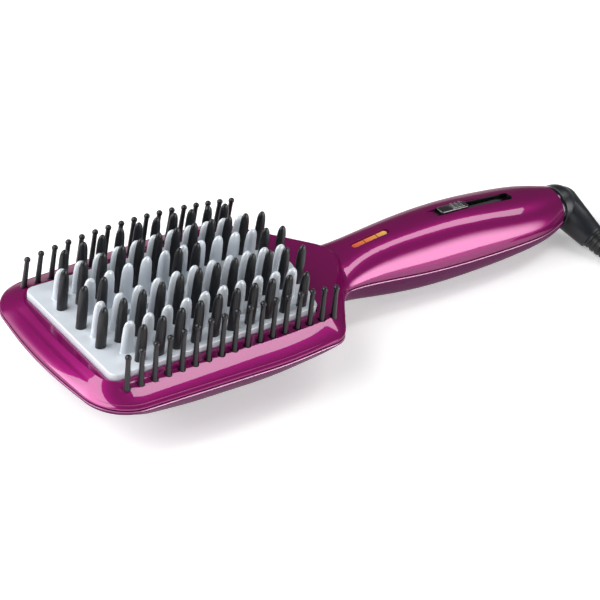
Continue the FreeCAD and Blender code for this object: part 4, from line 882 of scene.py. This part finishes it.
def lensFinish(name, start, end):
    # tinted acrylic over three windows, red-orange to yellow, with a dark line between them
    material, tree, shader = startMaterial(name, Roughness=0.15, Coat_Weight=0.5, Emission_Strength=0.06)
    place = addNode(tree, "ShaderNodeTexCoord")
    along = addNode(tree, "ShaderNodeSeparateXYZ", {"Vector": place.outputs["Object"]})
    count = addNode(tree, "ShaderNodeMapRange", {
        0: along.outputs["X"], 1: start * mm, 2: end * mm, 4: lensSet["windows"]})
    share = addMath(tree, "DIVIDE", count.outputs[0], lensSet["windows"])
    hue = addNode(tree, "ShaderNodeValToRGB", {"Fac": share})
    first, middle, last = map(hexColour, lensSet["colours"])
    hue.color_ramp.elements[0].color = first
    hue.color_ramp.elements[1].color = last
    hue.color_ramp.elements.new(0.5).color = middle
    line = addMath(tree, "LESS_THAN", addMath(tree, "FRACT", count.outputs[0]), lensSet["line"])
    colour = addNode(tree, "ShaderNodeMix", {
        0: line, 6: hue.outputs[0], 7: hexColour(lensSet["lineColour"])}, data_type="RGBA")
    feed(tree, shader, {"Base Color": colour.outputs[2], "Emission Color": colour.outputs[2]})
    return material


def setOnSlope(bm, topAt, sink):
    # a flat piece's base comes to lie that far below a sloping line
    for vert in bm.verts:
        vert.co.z += topAt(vert.co.x) - sink


def barTop(x):
    ends = np.array((barSet["start"], barSet["end"]))
    return float(np.interp(x, ends, handleTop(ends))) - barSet["sink"]


def trackTop(x):
    return trackSet["top"] - trackSet["slope"] * (x - switchSet["scoopStart"])


bm = bmesh.new()
barPlan = stadium(barSet["start"] + barSet["gap"], barSet["end"] - barSet["endGap"],
                  barSet["width"] - 2 * barSet["gap"], slotCut["steps"])
flatBlock(bm, barPlan, 0, barSet["thick"])
softenEdges(bm, edgesFrom(bm, barSet["thick"]), barSet["edge"], barSet["edgeSteps"])
setOnSlope(bm, barTop, barSet["thick"])
lensAcrylic = lensFinish("tintedAcrylic", barSet["start"], barSet["end"])
lightBar = finishPiece("indicatorLens", bm, lensAcrylic)
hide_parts("indicator_lens")

bm = bmesh.new()
flatBlock(bm, switchSlot(-trackSet["gap"]), 0, trackSet["thick"])
softenEdges(bm, edgesFrom(bm, trackSet["thick"]), trackSet["edge"], trackSet["edgeSteps"])
setOnSlope(bm, trackTop, trackSet["thick"])
# a black collar lines the slot, just under the handle's surface
outer = switchSet["collar"] - switchSet["collarGap"]
top, foot = switchSet["collarDrops"]
collarRings = []
for grow, drop in ((outer, foot), (outer, top), (0, top), (0, foot)):
    loop = switchSlot(grow)
    heights = frontHeight(np.array([p.x for p in loop]), np.array([p.y for p in loop]))
    collarRings.append([(p.x, p.y, height - drop) for p, height in zip(loop, heights)])
loopStack(bm, collarRings, closed=True)
switchTrack = finishPiece("switchTrack", bm, trackGloss)
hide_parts("switch_track")

bm = bmesh.new()
thick = buttonSet["thick"]
half = buttonSet["width"] / 2
start = buttonSet["start"]
end = start + buttonSet["length"]
flatBlock(bm, boxLoop(start, end, -half, half, buttonSet["corner"], buttonSet["cornerSteps"]), 0, thick)
ribSize = (buttonSet["ribWidth"], buttonSet["width"] - buttonSet["ribInset"], 2 * buttonSet["ribHeight"], 1)
for i in (-1, 0, 1):
    x = (start + end) / 2 + buttonSet["ribShift"] + i * buttonSet["ribPitch"]
    bmesh.ops.create_cube(bm, size=1, matrix=Matrix.Translation((x, 0, thick)) @ Matrix.Diagonal(ribSize))
softenEdges(bm, edgesFrom(bm, thick), buttonSet["edge"], buttonSet["edgeSteps"])
setOnSlope(bm, trackTop, -buttonSet["gap"])
slideButton = finishPiece("slideButton", bm, buttonSatin, body="button")
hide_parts("slide_button")
print("light bar and switch made")


# Swivel: end ring, elbow and ribbed strain relief

swivelSet = {
    # profiles of the ring and of the dome's foot: radius, and place along the handle's axis
    "axisHeight": 13.7, "ringSides": 64,
    "ring": ((9.05, 204.5), (10.1, 204.5), (10.4, 204.8), (10.4, 206.4), (10.2, 206.75), (9.9, 206.9),
             (9.05, 206.9), (9.05, 204.5)),
    "domeFoot": ((0, 205.0), (5.4, 205.0), (5.4, 207.2), (9.9, 207.2), (10.2, 207.5)),
    "domeMiddle": 209.5, "domeRadius": 10.2, "domeSides": 72, "arcSteps": 12, "sharp": 30,
    # the boot starts as a ball, cut off inside the dome, and narrows along its heading
    "bootStart": (213.4, 0, 13.7), "heading": (0.1567, -0.9265, -0.3420), "bootCut": 207.4,
    "bootRadius": 8.6, "bootSides": 64,
    "bootTip": ((7.3, 10.6), (6.1, 20.4), (5.7, 20.95), (5.2, 21.15), (0, 21.15)),
}
alongX = Matrix.Translation((0, 0, swivelSet["axisHeight"])) @ Matrix.Rotation(math.pi / 2, 4, "Y")
bm = bmesh.new()
stamp(bm, spunMesh(swivelSet["ring"], swivelSet["ringSides"]), alongX)
endRing = finishPiece("endRing", bm, ringChrome)
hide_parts("end_ring")

turns = [math.pi / 2 * k / swivelSet["arcSteps"] for k in range(swivelSet["arcSteps"] + 1)]
radius = swivelSet["domeRadius"]
dome = [(radius * math.cos(turn), swivelSet["domeMiddle"] + radius * math.sin(turn)) for turn in turns]
bm = bmesh.new()
stamp(bm, spunMesh(list(swivelSet["domeFoot"]) + dome, swivelSet["domeSides"]), alongX)
elbow = finishPiece("swivelElbow", bm, swivelTpe, body="swivel")
radius = swivelSet["bootRadius"]
ball = [(radius * math.sin(turn), -radius * math.cos(turn)) for turn in turns]
heading = Vector(swivelSet["heading"]).to_track_quat("Z", "Y").to_matrix().to_4x4()
boot = bmesh.new()
stamp(boot, spunMesh(ball + list(swivelSet["bootTip"]), swivelSet["bootSides"]),
      Matrix.Translation(swivelSet["bootStart"]) @ heading)
bmesh.ops.bisect_plane(boot, geom=boot.verts[:] + boot.edges[:] + boot.faces[:],
                       plane_co=(swivelSet["bootCut"], 0, 0), plane_no=(1, 0, 0), clear_inner=True)
bmesh.ops.holes_fill(boot, edges=[e for e in boot.edges if e.is_boundary], sides=0)
combine(elbow, [boot], "UNION")
dress(elbow, swivelTpe, swivelSet["sharp"])
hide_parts("swivel_elbow")

reliefSet = {
    "start": (216.715, -19.601, 6.4645), "length": 16.0, "dip": 20.0, "level": (0.1668, -0.9860, 0.0),
    "rootRadius": 5.0, "tipRadius": 3.9, "steps": 48, "sides": 28, "sharp": 50,
    # grooves leave ribs between them along this part of the length, where a wave lies under its level
    "ribs": 6, "groove": 0.45, "grooveSpan": (0.08, 0.92), "grooveLevel": -0.3,
}
fullDip = math.radians(reliefSet["dip"])
bend = reliefSet["length"] / fullDip
level = Vector(reliefSet["level"])
first, last = reliefSet["grooveSpan"]
turns = [math.tau * k / reliefSet["sides"] for k in range(reliefSet["sides"])]
reliefRings = []
for k in range(reliefSet["steps"] + 1):
    share = k / reliefSet["steps"]
    dip = fullDip * (1 - share)
    ahead = bend * (math.sin(fullDip) - math.sin(dip))
    fall = bend * (math.cos(dip) - math.cos(fullDip))
    centre = Vector(reliefSet["start"]) + level * ahead - Vector((0, 0, fall))
    facing = level * math.cos(dip) - Vector((0, 0, math.sin(dip)))
    radius = reliefSet["rootRadius"] + share * (reliefSet["tipRadius"] - reliefSet["rootRadius"])
    if first < share < last and math.sin(share * math.tau * reliefSet["ribs"]) < reliefSet["grooveLevel"]:
        radius -= reliefSet["groove"]
    matrix = Matrix.Translation(centre) @ facing.to_track_quat("Z", "Y").to_matrix().to_4x4()
    reliefRings.append([matrix @ Vector((-radius * math.sin(t), radius * math.cos(t), 0)) for t in turns])
bm = bmesh.new()
loopStack(bm, reliefRings)
strainRelief = finishPiece("strainRelief", bm, cordPvc, body="swivel", sharp=reliefSet["sharp"])
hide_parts("strain_relief")
print("swivel made")


# Inner parts stay as the CAD solids, each in its own finish

slotOf = {part["node"]: part["material_slot"] for part in frame["record"]["subparts"]}
for name, node in nodes.items():
    if slotOf.get(name) in innerFinishes:
        node.data.materials.clear()
        node.data.materials.append(innerFinishes[slotOf[name]])
print("inner parts finished")


# Floor, light and surroundings

stageSet = {"floor": 4.0, "floorColour": "#f4f4f4", "glowColour": "#ffffff", "whiteness": 0.36}
bm = bmesh.new()
bmesh.ops.create_grid(bm, x_segments=1, y_segments=1, size=stageSet["floor"])
floor = addObject("floor", meshFrom(bm, "floor"))
paleFloor, tree, shader = startMaterial(
    "paleFloor", Roughness=0.9, Specular_IOR_Level=0.0, Base_Color=hexColour(stageSet["floorColour"]),
    Emission_Color=hexColour(stageSet["glowColour"]))
# the floor is seen a little whiter than it is lit, and keeps its shadow
rays = addNode(tree, "ShaderNodeLightPath")
seen = rays.outputs["Is Camera Ray"]
for kind in ("Is Glossy Ray", "Is Transmission Ray"):
    seen = addMath(tree, "MAXIMUM", seen, rays.outputs[kind])
feed(tree, shader, {"Emission Strength": addMath(tree, "MULTIPLY", seen, stageSet["whiteness"])})
floor.data.materials.append(paleFloor)

lampSet = {
    # a strip box high on the right, mirrored along the handle and near roll, and a large soft key on the left
    "stripBox": {"place": (0.69, -0.025, 0.93), "aim": (0.07, 0, 0.03), "size": (0.23, 0.9), "power": 2.9},
    "leftKey": {"place": (-0.42, 0.08, 0.42), "aim": (-0.03, 0, 0.03), "size": (0.6, 0.6), "power": 4.6},
}
for name, lamp in lampSet.items():
    data = bpy.data.lights.new(name, "AREA")
    data.shape = "RECTANGLE"
    data.size, data.size_y = lamp["size"]
    data.energy = lamp["power"]
    holder = addObject(name, data)
    holder.location = lamp["place"]
    aim = Vector(lamp["aim"]) - Vector(lamp["place"])
    holder.rotation_euler = aim.to_track_quat("-Z", "Y").to_euler()

skySet = {
    "base": 0.12,
    # a low soft light on the near right gives the broad band along the handle, and a weaker one the glow of
    # the free end: heading, the cosines from its edge to its full part, and strength
    "lobes": (((0.566, -0.80, 0.20), 0.87, 0.985, 5.6), ((-0.60, 0.60, 0.50), 0.88, 0.985, 2.2)),
}
world = bpy.data.worlds.new("studio")
world.use_nodes = True
scene.world = world
tree = world.node_tree
place = addNode(tree, "ShaderNodeTexCoord")
total = skySet["base"]
for heading, low, high, strength in skySet["lobes"]:
    facing = addNode(tree, "ShaderNodeVectorMath", {
        0: place.outputs["Generated"], 1: Vector(heading).normalized()}, operation="DOT_PRODUCT")
    glow = addNode(tree, "ShaderNodeMapRange", {0: facing.outputs["Value"], 1: low, 2: high, 4: strength},
                   interpolation_type="SMOOTHSTEP")
    total = addMath(tree, "ADD", total, glow.outputs[0])
feed(tree, tree.nodes["Background"], {"Strength": total, "Color": (1, 1, 1, 1)})
print("stage and lights set")
